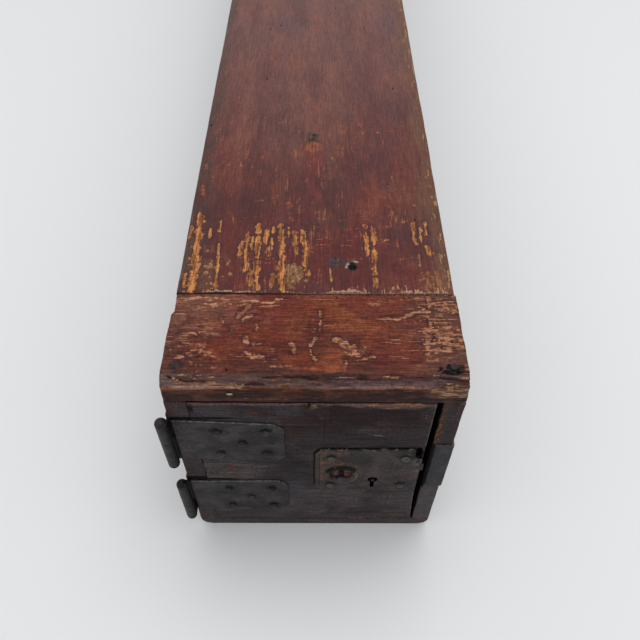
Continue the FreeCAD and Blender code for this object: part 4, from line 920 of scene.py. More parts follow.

# %% [markdown]
# The worn front edge is coloured by how far it tilts: dark on the slope, with a painted blue-grey
# reflection of the sky, and glowing red where it turns down into the front face; lower down, that face
# is painted darker as shade. The ridge is rubbed pale and carries a painted highlight.

# %% Wear the slope and the front face, and paint reflection and shade on them
front_face = ramp(-cap.normals[:, 1], 0.3, 0.8)
wear = noise(cap.points, (16, 6, 4), 122)
tilt = np.degrees(np.arctan2(-cap.normals[:, 1], cap.normals[:, 2]))
height = cap.points[:, 2] - ROOF
on_slope = ramp(tilt, 10, 22)
cap.wash(on_slope * 0.85, (0.058, 0.025, 0.020))
# Painted reflection: a pale grey sheen on the left part of the slope.
cap.wash(on_slope * ramp(-across, 0, 60) * 0.6, (0.100, 0.060, 0.053))
lift = 3.6 * ramp(across, 86, 104)
# Painted reflection of the sky: a blue-grey band across the slope.
slope_reflection = on_slope * ramp(lift - height, 2.4, 4.2) * fade(lift - height, 6.2, 7.6)
mottle = cap.mottled((6, 4, 2), 113, -0.5, 0.3, 2)
cap.wash(slope_reflection * ramp(across, -30, 30) * (0.3 + 0.45 * mottle), (0.100, 0.066, 0.074))
cap.wash(slope_reflection * ramp(across, -64, -56) * fade(across, -10, 20) * mottle * 0.7, (0.088, 0.056, 0.060))
cap.wash(ramp(tilt, 50, 66), (0.120, 0.030, 0.010))
# Painted shade: the lower part of the front face is painted darker.
cap.wash(ramp(-height + wear * 2.5, 9.5, 14) * front_face, (0.030, 0.0098, 0.0074))
cap.wash(front_face * cap.mottled((17, 8, 6), 116, 0.0, 0.4, 3) * 0.75, (0.014, 0.006, 0.006))
cap.wash(front_face * cap.mottled((15, 8, 5), 105, 0.1, 0.6, 3) * 0.6, (0.074, 0.028, 0.015))
print(f"points on the slope: {(on_slope > 0.5).sum()}")

# %% Rub the ridge pale, paint a highlight on it, and groove it
# The ridge's pale colour is rubbed lacquer and a painted highlight together.
ridge = np.abs(height + RIDGE_DROP + waver + 0.7 + wear * 0.5) - 0.7 * (across < -60)
ridge = fade(ridge, 0.5, 1.9) * ramp(tilt, 20, 30)
ridge *= 0.75 + 0.25 * cap.mottled((22, 6, 6), 124, -0.5, 0.3)
cap.wash(ridge * np.interp(across, [-112, -104, -64, -58], [0.3, 0.95, 0.95, 0.0]), (0.29, 0.165, 0.135))
rubbed = np.interp(across, [-64, -58, -8, 10, 75, 92], [0.0, 0.35, 0.35, 0.75, 0.75, 0.25])
cap.wash(ridge * rubbed, (0.20, 0.112, 0.098))
groove_path = from_front((-119, 10), (-107, 4), (-96, 3.0), (-68, 2.6))
groove = stroke(cap.spots, groove_path, 1.7, 0.7, 0.8, 114) * on_slope
groove *= cap.mottled((9, 5, 4), 104, -0.7, 0.1, 2) * np.interp(across, [-100, -66], [1, 0.3])
cap.wash(groove, (0.010, 0.007, 0.008))
cap.paint(groove * 0.7, (0.010, 0.007, 0.008))
cap.dent += groove * 0.4
corner = patch(cap, (-114, 3.5), 13, 8, 0.8, 112, 4) * on_slope
corner *= fade(-height, 7, 8.5) * ramp(cap.normals[:, 2], 0.3, 0.6)
cap.wash(corner * 0.5, (0.13, 0.088, 0.082))
cap.paint(corner * cap.mottled((6, 3, 1.6), 103, 0.1, 0.5, 2) * 0.7, (0.30, 0.20, 0.15))
cap.wash(patch(cap, (14, 7.2), 32, 5, 0.6, 111, 5) * 0.7, (0.022, 0.013, 0.014))

# %% Crack the slope and chip the nose
cracks = cap.mottled((18, 8, 1.4), 117, 0.35, 0.6, 2) * on_slope * fade(tilt, 40, 60)
cap.paint(cracks * 0.7, (0.028, 0.013, 0.012))
cap.dent += cracks * 0.25
glowing = ramp(tilt, 50, 70) * fade(-height, 9, 13) * cap.mottled((14, 6, 1.6), 119, 0.0, 0.6)
cap.paint(glowing * 0.6, (0.17, 0.045, 0.014))
cap.paint(on_slope * cap.mottled((24, 6, 3), 125, 0.35, 0.9) * 0.55, (0.17, 0.085, 0.055))
lug = patch(cap, (-62, -1), 15, 7, 0.4, 118, 5) * ramp(-height, 2, 4) * fade(-height, 7, 8.5)
cap.paint(lug * 0.9, (0.30, 0.19, 0.11))
block = ramp(across + wear * 6, 84, 94) * ramp(lift - height, 6.5, 8.5) * fade(-height, 18, 20.5) * on_slope
cap.wash(block * 0.85, (0.110, 0.058, 0.040))
cap.paint(block * cap.mottled((9, 5, 3.2), 123, -0.2, 0.3, 2) * 0.8, (0.25, 0.145, 0.09))
cap.paint(block * cap.mottled((12, 5, 1.2), 110, 0.2, 0.5, 2) * 0.8, (0.022, 0.012, 0.011))
cap.dent += block * (0.3 + 0.3 * noise(cap.points, (6, 5, 3), 109))

# %% Mark the front face and the nail's gouge
face_spots = cap.points[:, [0, 2]]
cap.paint(blot(face_spots, (-66, 255.2), 3.4, 3.4, 0.3, 108, 3) * front_face, SOOT_AND_SHADE)
cap.paint(blot(face_spots, (-66, 252.2), 4.2, 2.4, 0.3, 107, 3) * front_face * 0.9, (0.42, 0.34, 0.28))
gouge = patch(cap, (107, 13.5), 17, 8, 0.6, 126, 4) * cap.best
cap.wash(gouge, (0.012, 0.010, 0.011))
cap.paint(gouge * cap.speckled((2.4, 2.0), 106, -0.5, 0.0, 2), (0.010, 0.008, 0.009))
cap.dent += gouge * 1.2
crack = stroke(cap.spots, from_front((110, 11), (120, 10.5)), 0.9, 0.4, 0.4, 128) * cap.best
cap.paint(crack, (0.008, 0.006, 0.006))
cap.dent += crack
cap.wash(patch(cap, (-107, 16.5), 12, 10, 0.5, 127, 4) * cap.best * 0.75, (0.030, 0.017, 0.016))
cap.piece("door_end_cap", cap_lacquer, "chest", "top_cap_front", slot="red_lacquered_wood")

# %% Make the cap at the far end
far_low, far_high = reach("top_cap_back")
far_cap = Board("z", 1, ruled((far_low[0], 1.5), far_high[0]), ruled((far_low[1], 1.3), far_high[1]),
                ruled((far_high[2], 1.4), far_low[2]))
edge_noise = noise(far_cap.points, (30, 12, 20), 130)
far_cap.settle(cap_shape(far_low, far_high, 2.0 + np.clip(edge_noise, -0.8, 1.2) * 1.4, 1))
far_cap.dent += ramp(far_cap.arris, 0.02, 0.2) * far_cap.mottled(9, 132, 0.15, 0.8) * 0.6
flecks = noise(far_cap.flat, (6, 3.5, 1), 133, 2) + 0.5 * noise(far_cap.flat, (30, 20, 1), 134)
flecks = ramp(flecks, 0.8, 1.1) * far_cap.best
far_cap.paint(flecks * 0.7, (0.36, 0.22, 0.12))
far_cap.piece("far_end_cap", cap_lacquer, "chest", "top_cap_back", slot="red_lacquered_wood")

# %% [markdown]
# ## The sides
# The side boards run the whole length. Their front ends show beside the door as two narrow stiles,
# so the grid is finest there, and widens towards the far end.

# %% Cut boxes out of a board
def cut_out(mesh, *boxes, darkness=1):
    """A copy of a mesh without some boxes, each given by two corners in millimetres.

    The points along a cut come out pure white, so they are painted dark, like raw wood in shadow.
    Where a cut opens in one large face, the darkness is 0, because the paint would spread over it.
    """
    blank = bpy.data.objects.new("blank", mesh)
    bpy.context.scene.collection.objects.link(blank)
    for low, high in boxes:
        middle, size = (np.array(low) + high) / 2 * MM, (np.array(high) - low) * MM
        work = bmesh.new()
        bmesh.ops.create_cube(work, size=1, matrix=Matrix.Translation(middle) @ Matrix.Diagonal((*size, 1)))
        tool_mesh = bpy.data.meshes.new("cutter")
        work.to_mesh(tool_mesh)
        work.free()
        tool = bpy.data.objects.new("cutter", tool_mesh)
        bpy.context.scene.collection.objects.link(tool)
        carve = blank.modifiers.new("cut", "BOOLEAN")
        carve.operation, carve.solver, carve.object = "DIFFERENCE", "EXACT", tool
        carved = bpy.data.meshes.new_from_object(blank.evaluated_get(bpy.context.evaluated_depsgraph_get()))
        blank.modifiers.clear()
        blank.data = carved
        bpy.data.objects.remove(tool)
    bpy.data.objects.remove(blank)
    for layer in ("wash", "mark"):
        share, tint = np.empty(len(carved.vertices)), np.empty(len(carved.vertices) * 4)
        carved.attributes[f"{layer}_share"].data.foreach_get("value", share)
        carved.attributes[f"{layer}_tint"].data.foreach_get("color", tint)
        tint = tint.reshape(-1, 4)
        raw = tint[:, :3].sum(axis=1) > 2.99
        tint[raw, :3], share[raw] = (0.008, 0.006, 0.005), darkness * (layer == "wash")
        carved.attributes[f"{layer}_share"].data.foreach_set("value", share)
        carved.attributes[f"{layer}_tint"].data.foreach_set("color", tint.ravel())
    carved.set_sharp_from_angle(angle=math.radians(55))
    return carved


# %% Weather the front end of each side board, and paint shade beside the door and over the hinge leaves
# The near-black below is painted shade: in the gaps round the door, over the hinge leaves and in holes.
SHADE_BLACK = (0.004, 0.003, 0.003)
LEAF_TOPS = [reach(f"{level}_hinge_door_leaf")[1][2] for level in ("upper", "lower")]


def shade_left_stile(board, end):
    """Painted shade lies black on the stile above each hinge leaf."""
    z = board.points[:, 2]
    for leaf_top, deep in zip(LEAF_TOPS, (5, 8)):
        above_leaf = ramp(z, leaf_top - 1, leaf_top) * fade(z, leaf_top + deep - 2, leaf_top + deep)
        board.wash(end * above_leaf, SHADE_BLACK)
        board.paint(end * above_leaf * 0.95, SHADE_BLACK)


def rust_and_shade_right_stile(board, end, inside):
    """The stile is rusty above the strap, and painted black along the gap beside the door as painted shade.
    """
    x, y, z = board.points.T
    rusty = fade(x - 1.5 * ramp(230 - z, 0, 40) + noise(board.points, 5, 149) * 1.6, 105, 108)
    rusty *= fade(y - FRONT, 3, 4) * (1 - inside)
    rusty *= ramp(z, 173, 177) * fade(z, 234, 238)
    board.wash(rusty * 0.85, (0.046, 0.024, 0.019))
    board.paint(rusty * board.mottled((1.8, 4, 2.6), 148, 0.0, 0.35, 2) * 0.8, (0.150, 0.062, 0.036))
    board.wash(end * fade(z, 80, 100) * 0.8, (0.062, 0.056, 0.062))
    board.wash(end * ramp(z, 172, 176) * ramp(x, 108, 111) * 0.5, (0.022, 0.018, 0.020))
    # Painted shade: the stile's edge beside the door's gap is painted black.
    black_to = 104.5 - 2.3 * ramp(z, 173, 176) - noise(board.points, (4, 4, 5), 147) * 0.5
    gap = fade(x - black_to, -0.3, 0.4) * ramp(z, 84, 96) * fade(y - FRONT, 20, 40)
    board.wash(gap, (0.003, 0.003, 0.003))
    board.paint(gap, (0.003, 0.003, 0.003))
    scratch = fade(np.abs(z - 74 + 0.2 * (x - 110)), 0.3, 1.0)
    board.paint(end * scratch * 0.7, (0.085, 0.045, 0.042))


print("leaf tops:", [round(float(top), 1) for top in LEAF_TOPS])

# %% Make the side boards, with a mortise for the bolt in the right one
bolt_low, bolt_high = reach("lock_bolt")
BOLT_TRAVEL, MORTISE_FIT, MORTISE_END_FIT = 9.5, 0.6, 1
for side, way in (("left", -1), ("right", 1)):
    low, high = reach(f"side_board_{side}")
    outer_face, inner_face = (high[0], low[0]) if way > 0 else (low[0], high[0])
    along = ruled((low[1], 0.9), (low[1] + 12, 4.0), (low[1] + 120, 14.0), (high[1] - 8, 1.4), high[1])
    board = Board("x", way, along,
                  ruled((low[2], 1.3), (low[2] + 8, 2.2), (high[2] - 8, 1.3), high[2]),
                  outer_face + np.linspace(0, 1, 19) * (inner_face - outer_face),
                  insets=(3, 6, 10, 20, 30, 42))
    bruised = 0.6 + np.clip(noise(board.points, (8, 30, 22), 140), -0.8, 1) * 0.8
    board.settle(worn_block(low, high, 0.5 + ramp(way * board.points[:, 0], 106, 112) * bruised))
    x, y, z = board.points.T
    board.dent += ramp(board.arris, 0.02, 0.2) * board.mottled((6, 12, 9), 142 + way, 0.1, 0.7) * 0.6
    end = ramp(-board.normals[:, 1], 0.5, 0.9)
    fibre = noise(board.points, (2.2, 8, 26), 144 + way)
    board.paint(end * ramp(fibre, 0.1, 0.7) * 0.5, (0.075, 0.05, 0.042))
    board.paint(end * ramp(30 - z + fibre * 12, 0, 22) * 0.5, (0.09, 0.06, 0.05))
    worn_arris = ramp(board.arris, 0.03, 0.16) * board.mottled((5, 20, 12), 146 + way, -0.1, 0.5)
    board.paint(worn_arris * 0.8, (0.15, 0.085, 0.055))
    # Painted shade: the inner faces near the front are painted black, inside the gap beside the door.
    inside = ramp(-way * board.normals[:, 0], 0.5, 0.8) * fade(y - FRONT, 20, 40)
    if way < 0:
        inside *= ramp(y - FRONT, 1.0, 3.0)
    board.wash(inside, SHADE_BLACK)
    board.paint(inside, SHADE_BLACK)
    board.wash(end * ramp(way * x, 112, 119) * 0.6, (0.055, 0.028, 0.027))
    if way < 0:
        shade_left_stile(board, end)
        mesh = board.mesh(f"side_{side}")
    else:
        rust_and_shade_right_stile(board, end, inside)
        mortise_low, mortise_high = bolt_low - MORTISE_FIT, bolt_high + MORTISE_FIT
        mortise_low[0] = low[0] - 2
        mortise_high[0] = bolt_high[0] + BOLT_TRAVEL + MORTISE_END_FIT
        mesh = cut_out(board.mesh(f"side_{side}"), (mortise_low, mortise_high))
    adopt(f"side_{side}", mesh, side_black, "chest", f"side_board_{side}", slot="dark_stained_wood")

# %% [markdown]
# ## The bottom and the far end
# The bottom board carries the sides. Its long lower edges are worn round from being dragged about.

# %% Make the bottom board
bottom_low, bottom_high = reach("bottom_board")
BOTTOM_ROUND = 12.0
bottom = Board("y", -1,
               ruled((bottom_low[0], 1.1), bottom_high[0]),
               ruled((bottom_low[2], 1.0), bottom_high[2]),
               ruled((bottom_low[1], 1.0), (bottom_low[1] + 8, 4.0), (bottom_low[1] + 90, 24.0),
                     bottom_high[1]))


def bottom_shape(points):
    sides = np.abs(points[:, 0]) - bottom_high[0]
    ends = np.abs(points[:, 1]) - bottom_high[1]
    block = meet(sides, bottom_low[2] - points[:, 2], BOTTOM_ROUND)
    return meet(meet(block, points[:, 2] - bottom_high[2], 0.8), ends, 1.4)


bottom.settle(bottom_shape)
bottom.dent += ramp(bottom.arris, 0.02, 0.2) * bottom.mottled((10, 14, 6), 150, 0.1, 0.7) * 0.6
end = ramp(-bottom.normals[:, 1], 0.4, 0.9)
bottom.wash(end * 0.6, (0.052, 0.042, 0.044))
bottom.paint(end * bottom.mottled((24, 8, 2.5), 151, 0.0, 0.6) * 0.5, (0.085, 0.065, 0.058))
bottom.paint(ramp(bottom.arris, 0.03, 0.16) * bottom.mottled((16, 20, 6), 152, 0.0, 0.5) * 0.7,
             (0.14, 0.085, 0.06))
bottom.piece("bottom", side_black, "chest", "bottom_board", slot="dark_stained_wood")

# %% Make the board that closes the far end
back_low, back_high = reach("back_end_board")
far_end = Board("y", 1, ruled((back_low[0], 2.0), back_high[0]), ruled((back_low[2], 2.0), back_high[2]),
                ruled((back_high[1], 1.5), back_low[1]))
far_round = 0.8 + np.clip(noise(far_end.points, 20, 160), -0.5, 1) * 0.4
far_end.settle(worn_block(back_low, back_high, far_round))
far_end.paint(ramp(far_end.arris, 0.03, 0.16) * 0.6, (0.12, 0.075, 0.055))
far_end.piece("far_end_board", door_black, "chest", "back_end_board", slot="dark_stained_wood")

# %% [markdown]
# ## The door
# One board, blackened, with the lacquer worn to an orange line along its top and a painted highlight
# on that edge. It is cut out behind the lock: a mortise for the case, a slot for the bolt, and a dish
# that fingers reach into.

# %% Lay out the door
DOOR_EDGE, SPREAD_TALL, SPREAD_TO = 97.6, 54, door_low[2]
SPREAD_FROM = SPREAD_TO + SPREAD_TALL
HINGE_SIDE_MORE, FOOT_MORE = 0.9, 0.7
door_low -= (HINGE_SIDE_MORE, 0, FOOT_MORE)


def lock_edge_at(height):
    """How far right the door reaches at a height: it spreads towards its foot."""
    spread = np.clip((SPREAD_FROM - height) / (SPREAD_FROM - SPREAD_TO), 0, 1)
    return DOOR_EDGE + (door_high[0] - DOOR_EDGE) * spread


door = Board("y", -1, ruled((door_low[0], 0.9), door_high[0]), ruled((door_low[2], 0.9), door_high[2]),
             ruled((door_low[1], 1.2), door_high[1]), insets=(3,))
lock_edge = lock_edge_at(door.points[:, 2])
door.points[:, 0] = door_low[0] + ((door.points[:, 0] - door_low[0]) * (lock_edge - door_low[0])
                                   / (door_high[0] - door_low[0]))


def door_shape(points):
    sides = np.maximum(points[:, 0] - lock_edge_at(points[:, 2]), door_low[0] - points[:, 0])
    ends = meet(points[:, 2] - door_high[2], door_low[2] - points[:, 2], 1.0)
    faces = meet(points[:, 1] - door_high[1], door_low[1] - points[:, 1], 1.0)
    return meet(meet(sides, ends, 0.8), faces, 0.4 + 0.8 * ramp(points[:, 0], -96, -80))


door.settle(door_shape)
x, y, z = door.points.T
front = ramp(-door.normals[:, 1], 0.3, 0.8)
door.dent += ramp(door.arris, 0.02, 0.2) * door.mottled((11, 6, 8), 170, 0.05, 0.7) * 0.7
door.dent += (np.clip(noise(door.points, (70, 50, 40), 171), -1, 1) * 0.15 + 0.15) * front

# %% Stain the door
grain = noise(door.points, (40, 10, 3), 172)
door.paint(front * ramp(grain, 0.3, 0.9) * 0.3, (0.05, 0.036, 0.034))
places = door.points[:, [0, 2]]
door.wash(front * 0.5, (0.035, 0.030, 0.034))
door.wash(blot(places, (10, 212), 130, 42, 0.6, 173, 22) * front * 0.6, (0.036, 0.015, 0.013))
door.wash(ramp(112 - z, 0, 60) * front * 0.7, (0.060, 0.050, 0.054))
door.wash(ramp(-20 - x, 0, 50) * ramp(z, 100, 150) * front * 0.5, (0.045, 0.036, 0.036))
between_leaves = ramp(-40 - x, 0, 30) * ramp(140 - z, 0, 8) * ramp(z, 100, 106) * front
door.wash(between_leaves * 0.7, (0.076, 0.061, 0.060))
purplish = door.mottled((26, 10, 18), 168, 0.0, 0.6, 4) * front
door.wash(purplish * 0.45, (0.034, 0.018, 0.020))
greyish = door.mottled((20, 10, 15), 169, 0.0, 0.6, 4) * front
door.wash(greyish * 0.45, (0.050, 0.047, 0.054))
stains = door.mottled((26, 9, 14), 178, -0.1, 0.6, 4) * front
door.wash(stains * 0.45, (0.015, 0.012, 0.014))
for oval, strength, colour in ((((52, 221), 104, 26, 0.6, 167, 8), 0.7, (0.017, 0.0066, 0.0066)),
                               (((-10, 60), 110, 44, 0.6, 166, 18), 0.35, (0.070, 0.057, 0.059)),
                               (((-78, 124), 50, 30, 0.6, 165, 8), 0.4, (0.075, 0.058, 0.058))):
    door.wash(blot(places, *oval) * front * strength, colour)
print(f"stained points of the door: {(door.layers['wash'][1] > 0.5).sum()}")

# %% Paint shade in the gaps round the door, wear its top and paint highlights on its edges
gap_shade = ramp(z, 236.6, 237.4) + ramp(-x, 97.2, 97.8) * ramp(z, 222, 228)
door.wash(np.clip(gap_shade, 0, 1) * front, SHADE_BLACK)
# Painted shade: a near-black strip on the door just above each hinge leaf's top edge.
for leaf_top, reach_right in zip(LEAF_TOPS, (-40, -50)):
    under_edge = ramp(z, leaf_top - 1, leaf_top) * fade(z, leaf_top + 2, leaf_top + 5)
    door.paint(under_edge * fade(x, -90, reach_right) * front * 0.9, SOOT_AND_SHADE)
# Painted shade: the door's lock-side edge and its top face, which look into the gaps, are painted black.
door.wash(ramp(door.normals[:, 0], 0.5, 0.8) + ramp(door.normals[:, 2], 0.8, 0.95), SHADE_BLACK)
below_top = door_high[2] - z
bright = ramp(x, 15, 62) * fade(x, 84, 97)
worn_deep = 4.0 + 6.0 * bright + noise(door.points, (9, 6, 4), 174) * 2.5
# The top edge carries worn orange lacquer and a painted pale highlight.
worn_top_and_highlight = fade(below_top, worn_deep * 0.35, worn_deep) * fade(door.normals[:, 2], 0.75, 0.9) * front
door.wash(worn_top_and_highlight * (0.85 - 0.2 * ramp(x, -90, -50) * fade(x, 0, 30)), (0.135, 0.078, 0.072))
speckle = door.mottled((6, 4, 2.4), 177, -0.2, 0.45)
door.paint(worn_top_and_highlight * speckle * (0.2 + 0.55 * bright), (0.24, 0.12, 0.070))
corner = ramp(x, 80, 95) * ramp(z, 182, 225) * front
door.wash(corner * 0.5, (0.045, 0.032, 0.030))
below_worn = ramp(below_top, 8, 12) * ramp(z, 195, 205) * ramp(x, -10, 20) * front
door.wash(below_worn * 0.5, (0.022, 0.013, 0.013))
door.paint(corner * door.mottled((2.4, 4, 3.6), 175, -0.1, 0.4) * 0.62, (0.125, 0.068, 0.045))
# Painted highlight: a pale grey line along the door's lock-side arris.
lock_arris_highlight = ramp(x - lock_edge, -1.6, -0.6) * front * (1 - ramp(z, 84, 88) * fade(z, 166, 172))
door.wash(lock_arris_highlight * 0.8, (0.10, 0.09, 0.09))

# %% Paint the shadow round the lock plate's outline
plate_low, plate_high = reach("lock_plate")
PLATE_CORNER = 11


def off_plate(spots):
    """How far (x, z) spots lie outside the lock plate's outline; inside it the distance is negative."""
    middle, half = (plate_low + plate_high)[[0, 2]] / 2, (plate_high - plate_low)[[0, 2]] / 2 - PLATE_CORNER
    out = np.abs(spots - middle) - half
    return np.hypot(*np.maximum(out, 0).T) + np.minimum(out.max(axis=1), 0) - PLATE_CORNER


# Painted shadow: the door is darkened along the plate's left and top edges, where the raised plate casts it.
outline = fade(off_plate(places), 0.6, 1.3)
door.paint(outline * fade(x, 6, 12) * ramp(z, 90, 96) * front, SOOT_AND_SHADE)
door.paint(outline * ramp(z, 160, 166) * door.mottled((5, 5, 4), 187, -0.6, 0.0) * front * 0.9, SOOT_AND_SHADE)
print(f"outlined points: {(outline > 0.5).sum()}")

# %% Scratch and chip the door
LINES = [(0.7, (8.5, 163), (8.2, 200), (8.8, 238)), (0.7, (-32, 202.5), (40, 202), (100, 203)),
         (0.7, (72, 47), (72.4, 81)), (0.7, (-101, 139), (-50, 139.4), (-2, 138.6))]
scrape(door, LINES, (0.009, 0.008, 0.008), 0.25, 176, ragged=0.3, soft=0.4, strength=0.8)
FLAWS = [(1.2, (60, 22), (78, 21), (92, 23)), (1.0, (-90, 119), (-70, 118)), (0.9, (30, 60), (44, 74)),
         (0.9, (-12, 64), (-3, 52)), (1.0, (46, 190), (58, 187)), (0.9, (-60, 128), (-44, 131))]
scrape(door, FLAWS, (0.11, 0.07, 0.05), 0.15, 182, ragged=0.7, strength=0.8)
print("lines and flaws:", len(LINES) + len(FLAWS))
notch = stroke(door.points[:, [0, 2]], [(-4.6, 240), (-4.4, 234)], 2.0, 0.4, 0.5, 190)
door.dent += notch * 1.2 * ramp(-y, 752, 756)
broken = blot(door.points[:, [0, 2]], (-0.2, 233.5), 6, 10, 0.5, 191, 3) * front
door.dent += broken * 0.8
door.wash(broken * 0.7, (0.10, 0.062, 0.045))
door.paint(broken * door.mottled(2.6, 197, -0.2, 0.3) * 0.7, (0.16, 0.105, 0.075))
# The gouge is painted black, as painted shade in the hole.
torn = blot(door.points[:, [0, 2]], (93, 157), 11, 18, 0.5, 192, 4) * front
door.dent += torn * 5
door.paint(torn, SHADE_BLACK)
door.paint(notch * (door.normals[:, 1] < 0.3), SOOT_AND_SHADE)
streak = stroke(door.points[:, [0, 2]], [(48, 22), (66, 21.5), (92, 22.5)], 4.0, 0.9, 1.2, 193) * front
door.paint(streak * door.mottled((9, 5, 1.6), 194, -0.4, 0.3) * 0.6, (0.115, 0.062, 0.052))
door.paint(blot(door.points[:, [0, 2]], (-77, 130), 7, 6, 0.5, 195, 4) * front * 0.7, (0.16, 0.045, 0.018))
door.paint(blot(door.points[:, [0, 2]], (-50, 222), 14, 4, 0.6, 196, 4) * front * 0.6, (0.10, 0.04, 0.022))

# %% Cut the door out for its lock
case_low, case_high = reach("lock_case")
rosette_low, rosette_high = reach("pull_rosette")
pull_x, pull_z = ((rosette_low + rosette_high) / 2)[[0, 2]]
ROOM = 0.3
case_room = ((case_low[0] - ROOM, door_low[1] - 2, case_low[2] - ROOM), case_high + ROOM)
bolt_room = ((case_high[0] - 1, bolt_low[1] - ROOM, bolt_low[2] - ROOM),
             (door_high[0] + 2, bolt_high[1] + ROOM, bolt_high[2] + ROOM))
finger_room = (pull_x - 9, door_low[1] - 2, pull_z - 9), (pull_x + 9, door_low[1] + 4, pull_z + 9)
door_mesh = cut_out(door.mesh("door_blank"), case_room, bolt_room, finger_room, darkness=0)
adopt("door_panel", door_mesh, door_black, "door", "door_board", slot="dark_stained_wood")

# %% [markdown]
# ## Irons
# A smith's plates are never crisp. A copy of each fitted solid is rebuilt from small cubes, which
# melts its edges, and then noise hammers it and eats pits. The volume method keeps barrels, clipped
# corners and keyholes without a special case for any of them.

# %% Forge a copy of a fitted solid
SMOOTHING_ROUNDS = 2


def forge(node, voxel, unevenness, pits, seed):
    """A fitted solid, melted and hammered."""
    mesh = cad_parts[node].data.copy()
    work = bmesh.new()
    work.from_mesh(mesh)
    bmesh.ops.remove_doubles(work, verts=work.verts, dist=1e-6)
    work.to_mesh(mesh)
    work.free()
    blank = bpy.data.objects.new("blank", mesh)
    bpy.context.scene.collection.objects.link(blank)
    melt = blank.modifiers.new("melt", "REMESH")
    melt.mode, melt.voxel_size = "VOXEL", voxel * MM
    melted = bpy.data.meshes.new_from_object(blank.evaluated_get(bpy.context.evaluated_depsgraph_get()))
    bpy.data.objects.remove(blank)
    work = bmesh.new()
    work.from_mesh(melted)
    for _ in range(SMOOTHING_ROUNDS):
        bmesh.ops.smooth_vert(work, verts=work.verts, factor=0.5, use_axis_x=True, use_axis_y=True,
                              use_axis_z=True)
    work.to_mesh(melted)
    work.free()
    points = np.empty(len(melted.vertices) * 3)
    melted.vertices.foreach_get("co", points)
    normals = np.array([vertex.normal for vertex in melted.vertices])
    corners = np.empty(len(melted.loops), dtype=int)
    melted.loops.foreach_get("vertex_index", corners)
    starts = [face.loop_start for face in melted.polygons] + [len(corners)]
    faces = [corners[a:b].tolist() for a, b in zip(starts, starts[1:])]
    piece = Worn(points.reshape(-1, 3) / MM, faces, normals)
    piece.dent += noise(piece.points, 11, seed) * unevenness
    piece.dent += ramp(noise(piece.points, 1.8, seed + 7, 2), 0.4, 1.0) * pits
    return piece


# %% Find the nails of each iron
HEAD, HEAD_RISE = 3.8, 1.6


def nails_of(node, facing, quincunx=True):
    """Where four corner nails sit, and a fifth in the middle, from the box round their heads."""
    low, high = reach(node)
    axis = int(np.abs(facing).argmax())
    others = [other for other in range(3) if other != axis]
    seat = (low if sum(facing) < 0 else high)[axis] - sum(facing) * HEAD_RISE
    centre = (low + high) / 2
    centre[axis] = seat
    places = [(tuple(centre), facing)] if quincunx else []
    for first in (-1, 1):
        for second in (-1, 1):
            spot = centre.copy()
            for other, sign in zip(others, (first, second)):
                spot[other] += sign * ((high - low)[other] / 2 - HEAD)
            places.append((tuple(spot), facing))
    return places


TO_FRONT, TO_LEFT, TO_RIGHT, TO_TOP = (0, -1, 0), (-1, 0, 0), (1, 0, 0), (0, 0, 1)


def shade_nails(piece, nails, share=0.9):
    """A dark halo of soil and painted shade lies round each nail head, and a painted shadow above it."""
    spots = piece.points[:, [0, 2]]
    for number, ((nail_x, _, nail_z), _) in enumerate(nails):
        dark_halo = blot(spots, (nail_x, nail_z + 1), 17, 15, 0.5, 203 + number, 5)
        piece.wash(dark_halo * share * 0.6, (0.013, 0.011, 0.011))
        shadow = blot(spots, (nail_x, nail_z + 3.6), 11, 9, 0.3, 213 + number, 4)
        piece.paint(shadow * share, (0.006, 0.005, 0.005))


